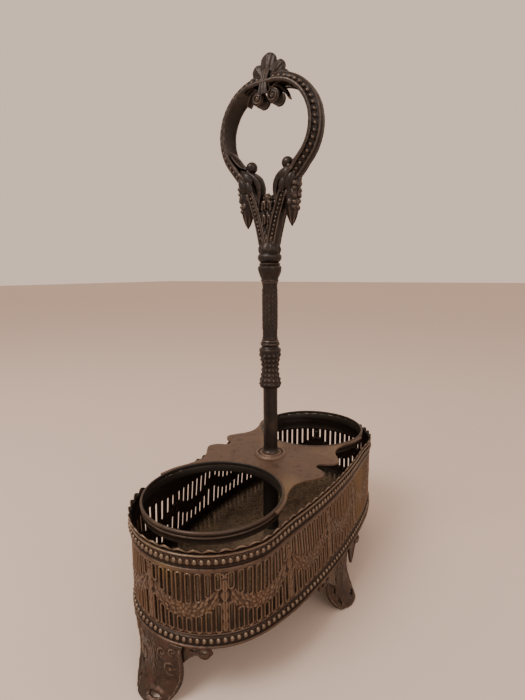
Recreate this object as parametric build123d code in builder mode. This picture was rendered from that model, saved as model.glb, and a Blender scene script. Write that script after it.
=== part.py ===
from build123d import *
import os
from math import atan2, cos, degrees, pi, radians, sin

# A two-ring cruet frame of stamped and cast brass, without its jars.
# Millimetres. +Z is up, the origin is on the table under the middle of the frame,
# X runs through the two rings and Y across the frame.

# ---- Plan of the gallery: a four-centred oval ----
HALF_LENGTH = 101.0
HALF_WIDTH = 49.7
END_RADIUS = 44.5
END_CENTRE = HALF_LENGTH - END_RADIUS
SIDE_RADIUS = (END_CENTRE**2 + HALF_WIDTH**2 - END_RADIUS**2) / (2 * (HALF_WIDTH - END_RADIUS))
SIDE_CENTRE = SIDE_RADIUS - HALF_WIDTH
JOIN_ANGLE = atan2(SIDE_CENTRE, END_CENTRE)
END_ARC = END_RADIUS * JOIN_ANGLE
SIDE_ARC = SIDE_RADIUS * (pi / 2 - JOIN_ANGLE)
PERIMETER = 4 * (END_ARC + SIDE_ARC)

# ---- Heights, measured from a level TABLE_LEVEL under the table top ----
TABLE_LEVEL = 10.0
FRAME_BOTTOM = 38.5
FLOOR_BOTTOM = 41.0
WALL_BOTTOM = 43.5
WALL_TOP = 76.6
LIP_TOP = 84.0
CREST_TOP = 88.2
COLLAR_BOTTOM = 86.0
BRIDGE_BOTTOM = 91.0
BRIDGE_TOP = 92.0

# ---- Gallery wall and its pierced ornament ----
WALL_INSET = 2.1
WALL_THICKNESS = 0.9
MOULDING_DEPTH = 3.0
LOWER_BULGE = 0.4
BAYS = 13
BAY = PERIMETER / BAYS
FIRST_PENDANT = 34.5
SLOTS_PER_BAY = 8
SLOT_PITCH = 4.68
SLOT_WIDTH = 1.3
SLOT_TOP = 74.8
SLOT_BOTTOM = 46.4
SWAG_LOW = 52.4
SWAG_HEIGHT = 8.6
SWAG_RISE = 7.6
SCALLOPS = 72
SCALLOP_RADIUS = 2.4
CREST_INSET = 0.5
CREST_THICKNESS = 0.8
FLOOR_THICKNESS = 1.0

# ---- Ring openings for the jars ----
RING_CENTRE = 57.4
RING_BORE = 36.0
COLLAR_RADIUS = 36.6
RIM_RADIUS = 37.5
RIM_HEIGHT = 2.2

# ---- Tie rod, pillar, nut ----
ROD_RADIUS = 2.5
RUNNING_FIT = 0.05
ROD_HOLE = ROD_RADIUS + RUNNING_FIT
ROD_BOTTOM = 33.0
ROD_TOP = 150.0
PILLAR_RADIUS = 5.2
PILLAR_BORE = 3.4
WASHER_RADIUS = 6.5
WASHER_THICKNESS = 1.0
NUT_ACROSS_FLATS = 8.0
NUT_HEIGHT = 4.0

# ---- Handle ----
FLANGE_TOP = 93.8
STEM_BOTTOM = FLANGE_TOP + RUNNING_FIT
STEM_RADIUS = 4.4
SLEEVE_BOTTOM = 136.0
SLEEVE_TOP = 161.5
SHAFT_BOTTOM = 165.5
SHAFT_TOP = 200.0
SHAFT_RADIUS = 4.7
KNOP_SPLIT = 211.3
FORK_BOTTOM = 222.5
LOOP_ARC_RADIUS = 25.5
LOOP_ARC_CENTRE = (4.6, 283.0)
LOOP_FOOT_ANGLE = 39.0
LOOP_FOOT_LENGTH = 9.5
LOOP_HALF_DEPTH = 3.0
LOOP_HALF_WIDTH = 7.0
BALL_CENTRE = (11.9, 265.2)
BALL_RADIUS = 3.3
CROWN_SCROLL_CENTRE = (5.0, 299.7)
CROWN_SCROLL_RADIUS = 3.8
DROP_AXIS = 15.2
FORK_HALF_THICKNESS = 5.0
SCROLL_HALF_THICKNESS = 4.4
SHELL_HALF_THICKNESS = 3.5

# ---- Feet ----
FOOT_INSET = 0.6
FOOT_THICKNESS = 2.2
FOOT_REACH = 14.0

os.makedirs("parts", exist_ok=True)


def save(builder, name):
    """Writes a part, lowered so that the table top is at z = 0."""
    part = builder.part.moved(Location((0, 0, -TABLE_LEVEL)))
    part.label = name
    export_step(part, f"parts/{name}.step")


def on_circle(centre, radius, angle):
    """The point at an angle, in radians, on a circle."""
    return (centre[0] + radius * cos(angle), centre[1] + radius * sin(angle))


def end_arc(side, inset):
    """Draws the arc round the end at x = side * HALF_LENGTH, inset from the lip, and returns it."""
    centre = (side * END_CENTRE, 0)
    middle = 0 if side > 0 else pi
    return ThreePointArc(
        *[on_circle(centre, END_RADIUS - inset, middle + turn) for turn in (-JOIN_ANGLE, 0, JOIN_ANGLE)]
    )


def side_arc(side, inset):
    """Draws the arc along the long side at y = side * HALF_WIDTH, inset from the lip, and returns it."""
    centre = (0, -side * SIDE_CENTRE)
    half = pi / 2 - JOIN_ANGLE
    return ThreePointArc(
        *[on_circle(centre, SIDE_RADIUS - inset, side * pi / 2 + turn) for turn in (-half, 0, half)]
    )


def oval_outline(inset):
    """Draws the whole oval, inset from the lip."""
    end_arc(1, inset)
    side_arc(1, inset)
    end_arc(-1, inset)
    side_arc(-1, inset)


# Each arc of the oval in turn from the end at -X: centre, radius, first angle and length.
OVAL_ARCS = (
    ((-END_CENTRE, 0), END_RADIUS, pi, END_ARC),
    ((0, SIDE_CENTRE), SIDE_RADIUS, pi + JOIN_ANGLE, 2 * SIDE_ARC),
    ((END_CENTRE, 0), END_RADIUS, -JOIN_ANGLE, 2 * END_ARC),
    ((0, -SIDE_CENTRE), SIDE_RADIUS, JOIN_ANGLE, 2 * SIDE_ARC),
    ((-END_CENTRE, 0), END_RADIUS, pi - JOIN_ANGLE, END_ARC),
)


def rim_place(distance, inset, height):
    """The location at a distance along the oval from its -X end, with its own X pointing outward."""
    left = distance % PERIMETER
    for centre, radius, first_angle, length in OVAL_ARCS:
        if left <= length:
            break
        left -= length
    angle = first_angle + left / radius
    x, y = on_circle(centre, radius - inset, angle)
    return Location((x, y, height), (0, 0, degrees(angle)))


def oval_band(outer_inset, inner_inset, bottom, top, rounding=0.0):
    """A closed upright band that follows the oval, with its outer edges rounded."""
    with BuildPart() as band:
        with BuildSketch(Plane.XY.offset(bottom)):
            with BuildLine():
                oval_outline(outer_inset)
            make_face()
            with BuildLine():
                oval_outline(inner_inset)
            make_face(mode=Mode.SUBTRACT)
        extrude(amount=top - bottom)
        if rounding:
            outer_radii = (END_RADIUS - outer_inset, SIDE_RADIUS - outer_inset)
            arcs = band.edges().filter_by(GeomType.CIRCLE)
            fillet(arcs.filter_by(lambda arc: min(abs(arc.radius - r) for r in outer_radii) < 0.01), rounding)
    return band


# ---- Gallery: four pierced strips joined end to end ----
def slot_groups():
    """The slots' half-bay offsets and heights: (offset from mid-bay, bottom, top) for each slot."""
    groups = []
    last_offset = SLOT_PITCH * (SLOTS_PER_BAY - 1) / 2
    for index in range(SLOTS_PER_BAY):
        offset = SLOT_PITCH * index - last_offset
        rise = SWAG_RISE * (offset / last_offset) ** 2
        groups.append((offset, SLOT_BOTTOM, SWAG_LOW + rise))
        groups.append((offset, SWAG_LOW + SWAG_HEIGHT + rise, SLOT_TOP))
    return groups


def gallery_strip(draw_arc, side, first, last):
    """One strip of the wall, between two distances along the oval, with its slots cut through."""
    with BuildPart() as strip:
        with BuildSketch(Plane.XY.offset(WALL_BOTTOM)):
            with BuildLine():
                outer = draw_arc(side, WALL_INSET)
                inner = draw_arc(side, WALL_INSET + WALL_THICKNESS)
                Line(outer @ 0, inner @ 0)
                Line(outer @ 1, inner @ 1)
            make_face()
        extrude(amount=WALL_TOP - WALL_BOTTOM)
        for offset, bottom, top in slot_groups():
            places = []
            for bay in range(-3, BAYS):
                distance = FIRST_PENDANT + BAY * (bay + 0.5) + offset
                if first - SLOT_WIDTH < distance < last + SLOT_WIDTH:
                    places.append(rim_place(distance, WALL_INSET, (bottom + top) / 2))
            with Locations(*places):
                Box(4, SLOT_WIDTH, top - bottom, mode=Mode.SUBTRACT)
    return strip


STRIPS = {
    "gallery_end_near": (end_arc, -1, -END_ARC, END_ARC),
    "gallery_side_right": (side_arc, -1, END_ARC, END_ARC + 2 * SIDE_ARC),
    "gallery_end_far": (end_arc, 1, END_ARC + 2 * SIDE_ARC, 3 * END_ARC + 2 * SIDE_ARC),
    "gallery_side_left": (side_arc, 1, 3 * END_ARC + 2 * SIDE_ARC, PERIMETER - END_ARC),
}
for strip_name, strip_span in STRIPS.items():
    save(gallery_strip(*strip_span), strip_name)

# ---- Mouldings above and below the strips, and the scalloped crest ----
save(oval_band(-LOWER_BULGE, MOULDING_DEPTH, FRAME_BOTTOM, WALL_BOTTOM, 1.2), "lower_moulding")
save(oval_band(0, MOULDING_DEPTH, WALL_TOP, LIP_TOP, 0.4), "upper_moulding")

with BuildPart() as crest:
    add(oval_band(CREST_INSET, CREST_INSET + CREST_THICKNESS, LIP_TOP, CREST_TOP).part)
    notches = [rim_place(PERIMETER * (n + 0.5) / SCALLOPS, CREST_INSET, CREST_TOP) for n in range(SCALLOPS)]
    with Locations(*notches):
        Cylinder(SCALLOP_RADIUS, 4, rotation=(0, 90, 0), mode=Mode.SUBTRACT)
save(crest, "crest")

# ---- Floor plate inside the lower moulding ----
with BuildPart() as floor_plate:
    with BuildSketch(Plane.XY.offset(FLOOR_BOTTOM)):
        with BuildLine():
            oval_outline(MOULDING_DEPTH)
        make_face()
        Circle(ROD_HOLE, mode=Mode.SUBTRACT)
    extrude(amount=FLOOR_THICKNESS)
save(floor_plate, "floor_plate")


def tube(outer, inner, bottom, top):
    """An upright round tube on the frame's middle axis."""
    with BuildPart() as part:
        with BuildSketch(Plane.XY.offset(bottom)):
            Circle(outer)
            Circle(inner, mode=Mode.SUBTRACT)
        extrude(amount=top - bottom)
    return part


save(tube(PILLAR_RADIUS, PILLAR_BORE, FLOOR_BOTTOM + FLOOR_THICKNESS, BRIDGE_BOTTOM), "pillar")

# ---- Feet: wings along the lower moulding, running down into a convex shell with a toe ----
# Half of the wings' outline, seen from outside: distance from the middle, height.
WING_OUTLINE = ((27.5, FRAME_BOTTOM), (26.6, 35.6), (20.0, 33.6), (15.6, 31.0))
# Level sections of the shell: height, half width, how far its middle and its edges stand out from the lip.
SHELL_SECTIONS = (
    (FRAME_BOTTOM, 15.4, -0.2, -2.6),
    (31.0, 15.2, 0.6, -3.4),
    (25.0, 14.8, 0.9, -4.6),
    (19.5, 14.3, 2.2, -3.6),
    (14.5, 12.4, 5.6, -0.8),
    (TABLE_LEVEL, 8.4, 9.0, 3.2),
)


def foot(place):
    """A foot under the lip at a place whose local X points outward."""
    outward = place.x_axis.direction
    with BuildPart() as part:
        add(oval_band(FOOT_INSET, FOOT_INSET + FOOT_THICKNESS, WING_OUTLINE[-1][1], FRAME_BOTTOM).part)
        with BuildSketch(Plane(place.position, x_dir=place.y_axis.direction, z_dir=outward)):
            with BuildLine():
                Polyline(*WING_OUTLINE, *[(-u, z) for u, z in reversed(WING_OUTLINE)], close=True)
            make_face()
        extrude(amount=FOOT_REACH, both=True, mode=Mode.INTERSECT)
        for height, half_width, front, edge in SHELL_SECTIONS:
            with BuildSketch(Plane(place.position + Vector(0, 0, height), x_dir=outward)):
                with BuildLine():
                    outer = ThreePointArc((edge, -half_width), (front, 0), (edge, half_width))
                    back_edge, back = edge - FOOT_THICKNESS, front - FOOT_THICKNESS
                    inner = ThreePointArc((back_edge, -half_width), (back, 0), (back_edge, half_width))
                    Line(outer @ 0, inner @ 0)
                    Line(outer @ 1, inner @ 1)
                make_face()
        loft()
    return part


FEET = {
    "foot_near": 0,
    "foot_right": END_ARC + SIDE_ARC,
    "foot_far": 2 * (END_ARC + SIDE_ARC),
    "foot_left": 3 * (END_ARC + SIDE_ARC),
}
for foot_name, foot_distance in FEET.items():
    save(foot(rim_place(foot_distance, 0, 0)), foot_name)

# ---- Bridge: the guard plate and its two ring collars ----
# One quarter of the plate's outline, from the notch at x = 0 to the tip beside a ring.
BRIDGE_QUARTER = (
    (0.0, 32.5),
    (2.6, 33.4),
    (5.5, 39.0),
    (10.5, 41.6),
    (16.0, 39.0),
    (22.0, 34.8),
    (29.0, 32.8),
    (37.8, 34.2),
    (47.2, 38.0),
    (57.0, 39.4),
)
with BuildPart() as bridge_plate:
    with BuildSketch(Plane.XY.offset(BRIDGE_BOTTOM)):
        with BuildLine():
            quarter = Spline(*BRIDGE_QUARTER, tangents=[(1, 0), (1, 0.1)])
            Line((BRIDGE_QUARTER[-1]), (BRIDGE_QUARTER[-1][0], 0))
            Line((BRIDGE_QUARTER[-1][0], 0), (0, 0))
            Line((0, 0), BRIDGE_QUARTER[0])
        make_face()
        mirror(about=Plane.YZ)
        mirror(about=Plane.XZ)
        with Locations((-RING_CENTRE, 0), (RING_CENTRE, 0)):
            Circle(RIM_RADIUS, mode=Mode.SUBTRACT)
        Circle(ROD_HOLE, mode=Mode.SUBTRACT)
    extrude(amount=BRIDGE_TOP - BRIDGE_BOTTOM)
save(bridge_plate, "bridge_plate")

RIM_TOP = BRIDGE_TOP + 0.4
RIM_BOTTOM = RIM_TOP - RIM_HEIGHT
for side, ring_name in ((-1, "near"), (1, "far")):
    with BuildPart() as collar:
        with BuildSketch(Plane.XY.offset(COLLAR_BOTTOM)):
            with Locations((side * RING_CENTRE, 0)):
                Circle(COLLAR_RADIUS)
                Circle(RING_BORE, mode=Mode.SUBTRACT)
        extrude(amount=RIM_BOTTOM - COLLAR_BOTTOM)
    save(collar, f"collar_{ring_name}")
    with BuildPart() as rim:
        with BuildSketch(Plane.XY.offset(RIM_BOTTOM)):
            with Locations((side * RING_CENTRE, 0)):
                Circle(RIM_RADIUS)
                Circle(RING_BORE, mode=Mode.SUBTRACT)
        extrude(amount=RIM_HEIGHT)
        fillet(rim.edges().group_by(Axis.Z)[-1].sort_by(Edge.length)[-1], 0.6)
    save(rim, f"rolled_rim_{ring_name}")


def turned(profile, axis_y=0.0):
    """A turned piece from its (radius, height) profile, about an upright axis at y = axis_y."""
    with BuildPart() as part:
        with BuildSketch(Plane.XZ.offset(-axis_y)):
            with BuildLine():
                Polyline(*profile, close=True)
            make_face()
        revolve(axis=Axis((0, axis_y, 0), (0, 0, 1)))
    return part


save(
    turned(
        (
            (ROD_HOLE, BRIDGE_TOP),
            (9.8, BRIDGE_TOP),
            (9.8, 93.0),
            (9.2, 93.6),
            (8.2, 93.6),
            (7.4, 92.8),
            (6.4, 92.8),
            (5.6, FLANGE_TOP),
            (ROD_HOLE, FLANGE_TOP),
        )
    ),
    "stem_flange",
)

# ---- Tie rod, washer and nut ----
with BuildPart() as tie_rod:
    with BuildSketch(Plane.XY.offset(ROD_BOTTOM)):
        Circle(ROD_RADIUS)
    extrude(amount=ROD_TOP - ROD_BOTTOM)
save(tie_rod, "tie_rod")

save(tube(WASHER_RADIUS, ROD_HOLE, FLOOR_BOTTOM - WASHER_THICKNESS, FLOOR_BOTTOM), "base_washer")

with BuildPart() as base_nut:
    with BuildSketch(Plane.XY.offset(FLOOR_BOTTOM - WASHER_THICKNESS - NUT_HEIGHT)):
        RegularPolygon(NUT_ACROSS_FLATS / 2, 6, major_radius=False)
        Circle(ROD_HOLE, mode=Mode.SUBTRACT)
    extrude(amount=NUT_HEIGHT)
save(base_nut, "base_nut")

# ---- Handle stem: turned and cast pieces stacked on the tie rod ----
save(
    turned(
        (
            (ROD_HOLE, STEM_BOTTOM),
            (5.4, STEM_BOTTOM),
            (5.2, 95.2),
            (STEM_RADIUS, 96.2),
            (STEM_RADIUS, SLEEVE_BOTTOM),
            (ROD_HOLE, SLEEVE_BOTTOM),
        )
    ),
    "stem_tube",
)
save(
    turned(
        (
            (ROD_HOLE, SLEEVE_BOTTOM),
            (6.2, SLEEVE_BOTTOM),
            (6.7, 138.0),
            (6.4, 140.5),
            (5.3, 144.5),
            (5.2, 149.0),
            (6.0, 153.5),
            (6.75, 157.5),
            (6.3, 159.6),
            (5.1, SLEEVE_TOP),
            (0, SLEEVE_TOP),
            (0, ROD_TOP + 1),
            (ROD_HOLE, ROD_TOP + 1),
        )
    ),
    "ribbed_sleeve",
)
save(
    turned(
        (
            (0, SLEEVE_TOP),
            (5.1, SLEEVE_TOP),
            (5.9, 162.9),
            (5.8, 164.2),
            (4.9, SHAFT_BOTTOM),
            (0, SHAFT_BOTTOM),
        )
    ),
    "neck_ring",
)
save(
    turned(((0, SHAFT_BOTTOM), (SHAFT_RADIUS, SHAFT_BOTTOM), (SHAFT_RADIUS, SHAFT_TOP), (0, SHAFT_TOP))),
    "engraved_shaft",
)
save(
    turned(
        (
            (0, SHAFT_TOP),
            (5.0, SHAFT_TOP),
            (5.8, 203.0),
            (7.0, 207.2),
            (7.0, 209.0),
            (5.3, KNOP_SPLIT),
            (0, KNOP_SPLIT),
        )
    ),
    "lower_knop",
)
save(
    turned(
        (
            (0, KNOP_SPLIT),
            (5.3, KNOP_SPLIT),
            (7.1, 213.4),
            (7.1, 215.2),
            (6.4, 219.6),
            (5.6, FORK_BOTTOM),
            (0, FORK_BOTTOM),
        )
    ),
    "upper_knop",
)

# ---- Fork, loop and their cast ornaments, symmetric about the XZ plane ----
FORK_HALF = (
    (0, FORK_BOTTOM),
    (5.6, FORK_BOTTOM),
    (6.6, 226.0),
    (9.4, 237.0),
    (12.6, 247.0),
    (17.4, 257.0),
    (13.0, 262.0),
    (8.3, 260.0),
    (4.4, 257.4),
    (2.9, 253.6),
    (3.0, 249.4),
    (0, 246.4),
)
with BuildPart() as fork:
    with BuildSketch(Plane.YZ):
        with BuildLine():
            Polyline(*FORK_HALF, close=True)
        make_face()
        mirror(about=Plane.YZ)
    extrude(amount=FORK_HALF_THICKNESS, both=True)

with BuildPart() as handle_loop:
    with BuildLine(Plane.YZ) as loop_path:
        foot_angle = -radians(LOOP_FOOT_ANGLE)
        right_start = on_circle(LOOP_ARC_CENTRE, LOOP_ARC_RADIUS, foot_angle)
        right_middle = on_circle(LOOP_ARC_CENTRE, LOOP_ARC_RADIUS, (foot_angle + pi / 2) / 2)
        right_end = on_circle(LOOP_ARC_CENTRE, LOOP_ARC_RADIUS, pi / 2)
        right_foot = (
            right_start[0] + LOOP_FOOT_LENGTH * sin(foot_angle),
            right_start[1] - LOOP_FOOT_LENGTH * cos(foot_angle),
        )
        Line(right_foot, right_start)
        ThreePointArc(right_start, right_middle, right_end)
        Line(right_end, (-right_end[0], right_end[1]))
        ThreePointArc(*[(-y, z) for y, z in (right_end, right_middle, right_start)])
        Line((-right_start[0], right_start[1]), (-right_foot[0], right_foot[1]))
    with BuildSketch(Plane(loop_path.line @ 0, x_dir=(1, 0, 0), z_dir=loop_path.line % 0)) as loop_section:
        with BuildLine():
            Polyline(
                (-LOOP_HALF_WIDTH, -LOOP_HALF_DEPTH),
                (LOOP_HALF_WIDTH, -LOOP_HALF_DEPTH),
                (LOOP_HALF_WIDTH, -1.6),
                (2.2, LOOP_HALF_DEPTH),
                (-2.2, LOOP_HALF_DEPTH),
                (-LOOP_HALF_WIDTH, -1.6),
                close=True,
            )
        make_face()
    sweep()
save(handle_loop, "handle_loop")

with BuildPart() as trimmed_fork:
    add(fork.part)
    add(handle_loop.part, mode=Mode.SUBTRACT)
save(trimmed_fork, "fork")

DROP_PROFILE = (
    (0, 258.5),
    (4.6, 257.4),
    (6.1, 253.0),
    (5.6, 245.0),
    (3.4, 238.6),
    (0.5, 231.0),
    (0, 231.0),
)
SHELL_LOBES = ((0, 318.3, 4.7), (6.2, 315.8, 3.9), (8.9, 312.6, 3.6))
with BuildPart() as shell_finial:
    with BuildSketch(Plane.YZ):
        for y, z, radius in SHELL_LOBES:
            with Locations((y, z), (-y, z)):
                Circle(radius)
        Polygon((0, 302), (9, 311), (6, 316), (-6, 316), (-9, 311), align=None)
    extrude(amount=SHELL_HALF_THICKNESS, both=True)
    add(handle_loop.part, mode=Mode.SUBTRACT)
    shell_offcuts = shell_finial.solids().sort_by(SortBy.VOLUME)[:-1]
    add(shell_offcuts, mode=Mode.SUBTRACT)
save(shell_finial, "shell_finial")

for side, side_name in ((1, "left"), (-1, "right")):
    with BuildPart() as crown_scroll:
        with BuildSketch(Plane.YZ):
            with Locations((side * CROWN_SCROLL_CENTRE[0], CROWN_SCROLL_CENTRE[1])):
                Circle(CROWN_SCROLL_RADIUS)
            Polygon(
                (side * 4.5, 307.0),
                (side * 15.5, 305.0),
                (side * 13.0, 297.6),
                (side * 7.5, 298.0),
                align=None,
            )
        extrude(amount=SCROLL_HALF_THICKNESS, both=True)
        add(handle_loop.part, mode=Mode.SUBTRACT)
    save(crown_scroll, f"crown_scroll_{side_name}")

    with BuildPart() as volute_ball:
        with Locations((0, side * BALL_CENTRE[0], BALL_CENTRE[1])):
            Sphere(BALL_RADIUS)
        add(trimmed_fork.part, mode=Mode.SUBTRACT)
        add(handle_loop.part, mode=Mode.SUBTRACT)
    save(volute_ball, f"volute_ball_{side_name}")

    with BuildPart() as grape_drop:
        add(turned(DROP_PROFILE, side * DROP_AXIS).part)
        add(trimmed_fork.part, mode=Mode.SUBTRACT)
        add(handle_loop.part, mode=Mode.SUBTRACT)
    save(grape_drop, f"grape_drop_{side_name}")
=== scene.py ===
from math import atan2, cos, pi, radians, sin

import bmesh
import bpy
import numpy as np
from mathutils import Matrix, Vector, noise


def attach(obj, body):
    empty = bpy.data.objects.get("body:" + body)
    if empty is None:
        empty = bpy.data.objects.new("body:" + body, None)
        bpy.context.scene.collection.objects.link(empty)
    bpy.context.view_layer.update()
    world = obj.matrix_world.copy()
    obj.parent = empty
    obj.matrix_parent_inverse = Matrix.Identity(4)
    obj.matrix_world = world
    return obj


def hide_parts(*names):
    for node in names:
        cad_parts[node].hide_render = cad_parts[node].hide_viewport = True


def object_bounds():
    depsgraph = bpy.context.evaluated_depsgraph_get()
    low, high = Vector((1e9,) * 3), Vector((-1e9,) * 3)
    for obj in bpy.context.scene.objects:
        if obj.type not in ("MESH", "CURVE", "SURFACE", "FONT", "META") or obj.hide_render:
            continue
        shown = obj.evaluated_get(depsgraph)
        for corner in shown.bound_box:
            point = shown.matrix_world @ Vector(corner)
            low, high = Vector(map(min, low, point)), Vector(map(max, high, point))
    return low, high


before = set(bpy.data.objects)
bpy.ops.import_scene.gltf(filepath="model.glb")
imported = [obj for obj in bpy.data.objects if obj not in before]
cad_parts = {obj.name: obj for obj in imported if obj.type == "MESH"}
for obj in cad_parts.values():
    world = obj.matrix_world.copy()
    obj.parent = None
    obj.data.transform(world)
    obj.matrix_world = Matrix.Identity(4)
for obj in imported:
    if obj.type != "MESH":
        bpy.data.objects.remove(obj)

# The looks of a two-ring cruet frame in tarnished brass. Sizes are in millimetres until a piece
# is made. +Z is up, X runs through the two rings, and the carrying loop stands in the YZ plane.
# Heights count from a level that lies TABLE_LEVEL under the table top.
CAD_LOW, CAD_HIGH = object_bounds()
MM = 0.001
SEED = 7
WELD = 0.003  # points nearer than this are one
AXIS = 0.02  # the radius at which a turned profile meets its axis
PIT_DEPTH = 0.12
SIDES = ((1, "left"), (-1, "right"))
RING_SIDES = ((-1, "near"), (1, "far"))

# ---- Plan of the gallery: the CAD's four-centred oval ----
HALF_LENGTH, HALF_WIDTH, END_RADIUS = 101.0, 49.7, 44.5
END_CENTRE = HALF_LENGTH - END_RADIUS
SIDE_RADIUS = (END_CENTRE**2 + HALF_WIDTH**2 - END_RADIUS**2) / (2 * (HALF_WIDTH - END_RADIUS))
SIDE_CENTRE = SIDE_RADIUS - HALF_WIDTH
JOIN_ANGLE = atan2(SIDE_CENTRE, END_CENTRE)
END_ARC = END_RADIUS * JOIN_ANGLE
SIDE_ARC = SIDE_RADIUS * (pi / 2 - JOIN_ANGLE)
PERIMETER = 4 * (END_ARC + SIDE_ARC)
OVAL_ARCS = (
    ((-END_CENTRE, 0), END_RADIUS, pi, END_ARC),
    ((0, SIDE_CENTRE), SIDE_RADIUS, pi + JOIN_ANGLE, 2 * SIDE_ARC),
    ((END_CENTRE, 0), END_RADIUS, -JOIN_ANGLE, 2 * END_ARC),
    ((0, -SIDE_CENTRE), SIDE_RADIUS, JOIN_ANGLE, 2 * SIDE_ARC),
    ((-END_CENTRE, 0), END_RADIUS, pi - JOIN_ANGLE, END_ARC),
)

# ---- Gallery: heights, swags, slots and beads ----
TABLE_LEVEL = 10.0
FRAME_BOTTOM, WALL_BOTTOM, WALL_TOP, LIP_TOP, CREST_TOP = 38.5, 43.5, 76.6, 84.0, 88.2
BAYS = 13
BAY = PERIMETER / BAYS
FIRST_PENDANT = 34.5
SLOT_PITCH, SLOTS_PER_BAY = 4.68, 8
LAST_SLOT = SLOT_PITCH * (SLOTS_PER_BAY - 1) / 2
SLOT_OFFSETS = tuple(SLOT_PITCH * n - LAST_SLOT for n in range(SLOTS_PER_BAY))
SLOT_TOP, SLOT_BOTTOM = 74.8, 46.4
SWAG_LOW, SWAG_HEIGHT, SWAG_RISE = 52.4, 8.6, 7.0
WALL_INSET, SHEET = 2.1, 0.7
SCALLOPS, SCALLOP_DEPTH = 72, 1.55
BEADS = 156
UPPER_BEADS, LOWER_BEADS = 81.7, 42.05
# The old frame is bent: its long sides lean in towards the top, and the left one has sunk.
LEAN_START, LEAN_FULL, LEAN_AT_BEADS, LEAN_PER_MM = 52.0, 80.0, 2.2, 0.088
LEFT_LEAN_EXTRA, LEFT_SAG = 2.2, 2.2

# ---- Bridge, stem and loop ----
RING_CENTRE, RIM_RADIUS = 57.4, 37.5
BRIDGE_TOP = 92.0
LONGEST_EDGE = 4.0
ROD_HOLE = 2.55
LOOP_CENTRE, LOOP_RADIUS = (4.6, 283.0), 25.5
LOOP_FOOT_ANGLE, LOOP_FOOT_LENGTH = radians(-39), 9.5
BEAD_SUNK = 0.42
ROSETTE_HEIGHT, DROP_AT, SHELL_BASE = 247.3, 15.0, 306.0


# ---- Mesh helpers ----
def smoothstep(low, high, value):
    t = np.clip((np.asarray(value, float) - low) / (high - low), 0, 1)
    return t * t * (3 - 2 * t)


def ridge(distance, width):
    """A rounded ridge: 1 at distance 0 and close to 0 from twice the width on."""
    return np.exp(-((np.asarray(distance, float) / width) ** 2))


def curve_through(points, steps):
    """Points on a smooth curve through the given ones, with that many steps between each two."""
    points = np.asarray(points, float)
    padded = np.vstack([2 * points[0] - points[1], points, 2 * points[-1] - points[-2]])
    t = np.linspace(0, 1, steps, endpoint=False)[:, None]
    runs = []
    for a, b, c, d in zip(padded, padded[1:], padded[2:], padded[3:]):
        runs.append(
            0.5 * (2 * b + (c - a) * t + (2 * a - 5 * b + 4 * c - d) * t**2 + (3 * b - a - 3 * c + d) * t**3)
        )
    return np.vstack(runs + [points[-1:]])


def grid_quads(rows, columns, wrap_rows=False, wrap_columns=False, keep=None):
    """The quads of a grid of points, as a (n, 4) array; keep masks them by cell."""
    i = np.arange(rows if wrap_rows else rows - 1)
    j = np.arange(columns if wrap_columns else columns - 1)
    i, j = np.meshgrid(i, j, indexing="ij")
    k, m = (i + 1) % rows, (j + 1) % columns
    quads = np.stack([i * columns + j, k * columns + j, k * columns + m, i * columns + m], axis=-1)
    return quads[keep] if keep is not None else quads.reshape(-1, 4)


class Shape:
    """Collects points, in millimetres, and faces. A point's tone is above 0 where it is lightened, below 0
    where darkened: for rubbed metal and dirt, and on some pieces also for painted highlight and painted
    shade.
    """

    def __init__(self):
        self.points, self.faces, self.tones, self.total = [], [], [], 0

    def add(self, points, faces, tone=0.0):
        points = np.asarray(points, float).reshape(-1, 3)
        self.tones.append(np.ravel(tone) + np.zeros(len(points)))
        if isinstance(faces, np.ndarray):
            self.faces += (faces + self.total).tolist()
        else:
            self.faces += [[i + self.total for i in face] for face in faces]
        self.points.append(points)
        self.total += len(points)
        return self

    def grid(self, points, wrap_rows=False, wrap_columns=False, keep=None, tone=0.0):
        rows, columns = points.shape[:2]
        return self.add(points, grid_quads(rows, columns, wrap_rows, wrap_columns, keep), tone)

    def join(self, other, shift=(0, 0, 0)):
        return self.add(np.concatenate(other.points) + shift, other.faces)

    def ball(self, centre, radii, across=10, up=7, axes=None):
        """An ellipsoid; axes are its three directions as rows."""
        turn = np.linspace(0, 2 * pi, across, endpoint=False)[:, None]
        rise = np.linspace(0.02, pi - 0.02, up)[None, :]
        shape = np.stack(
            [np.cos(turn) * np.sin(rise), np.sin(turn) * np.sin(rise), np.cos(rise) + 0 * turn], axis=-1
        )
        shape = shape * np.asarray(radii, float)
        if axes is not None:
            shape = shape @ np.asarray(axes, float)
        return self.grid(shape + np.asarray(centre, float), wrap_rows=True)

    def mirrored(self):
        """Adds the same shape again with Y turned round."""
        points = np.concatenate(self.points)
        faces = [list(reversed(face)) for face in self.faces]
        return self.add(points * (1, -1, 1), faces, np.concatenate(self.tones))


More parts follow.
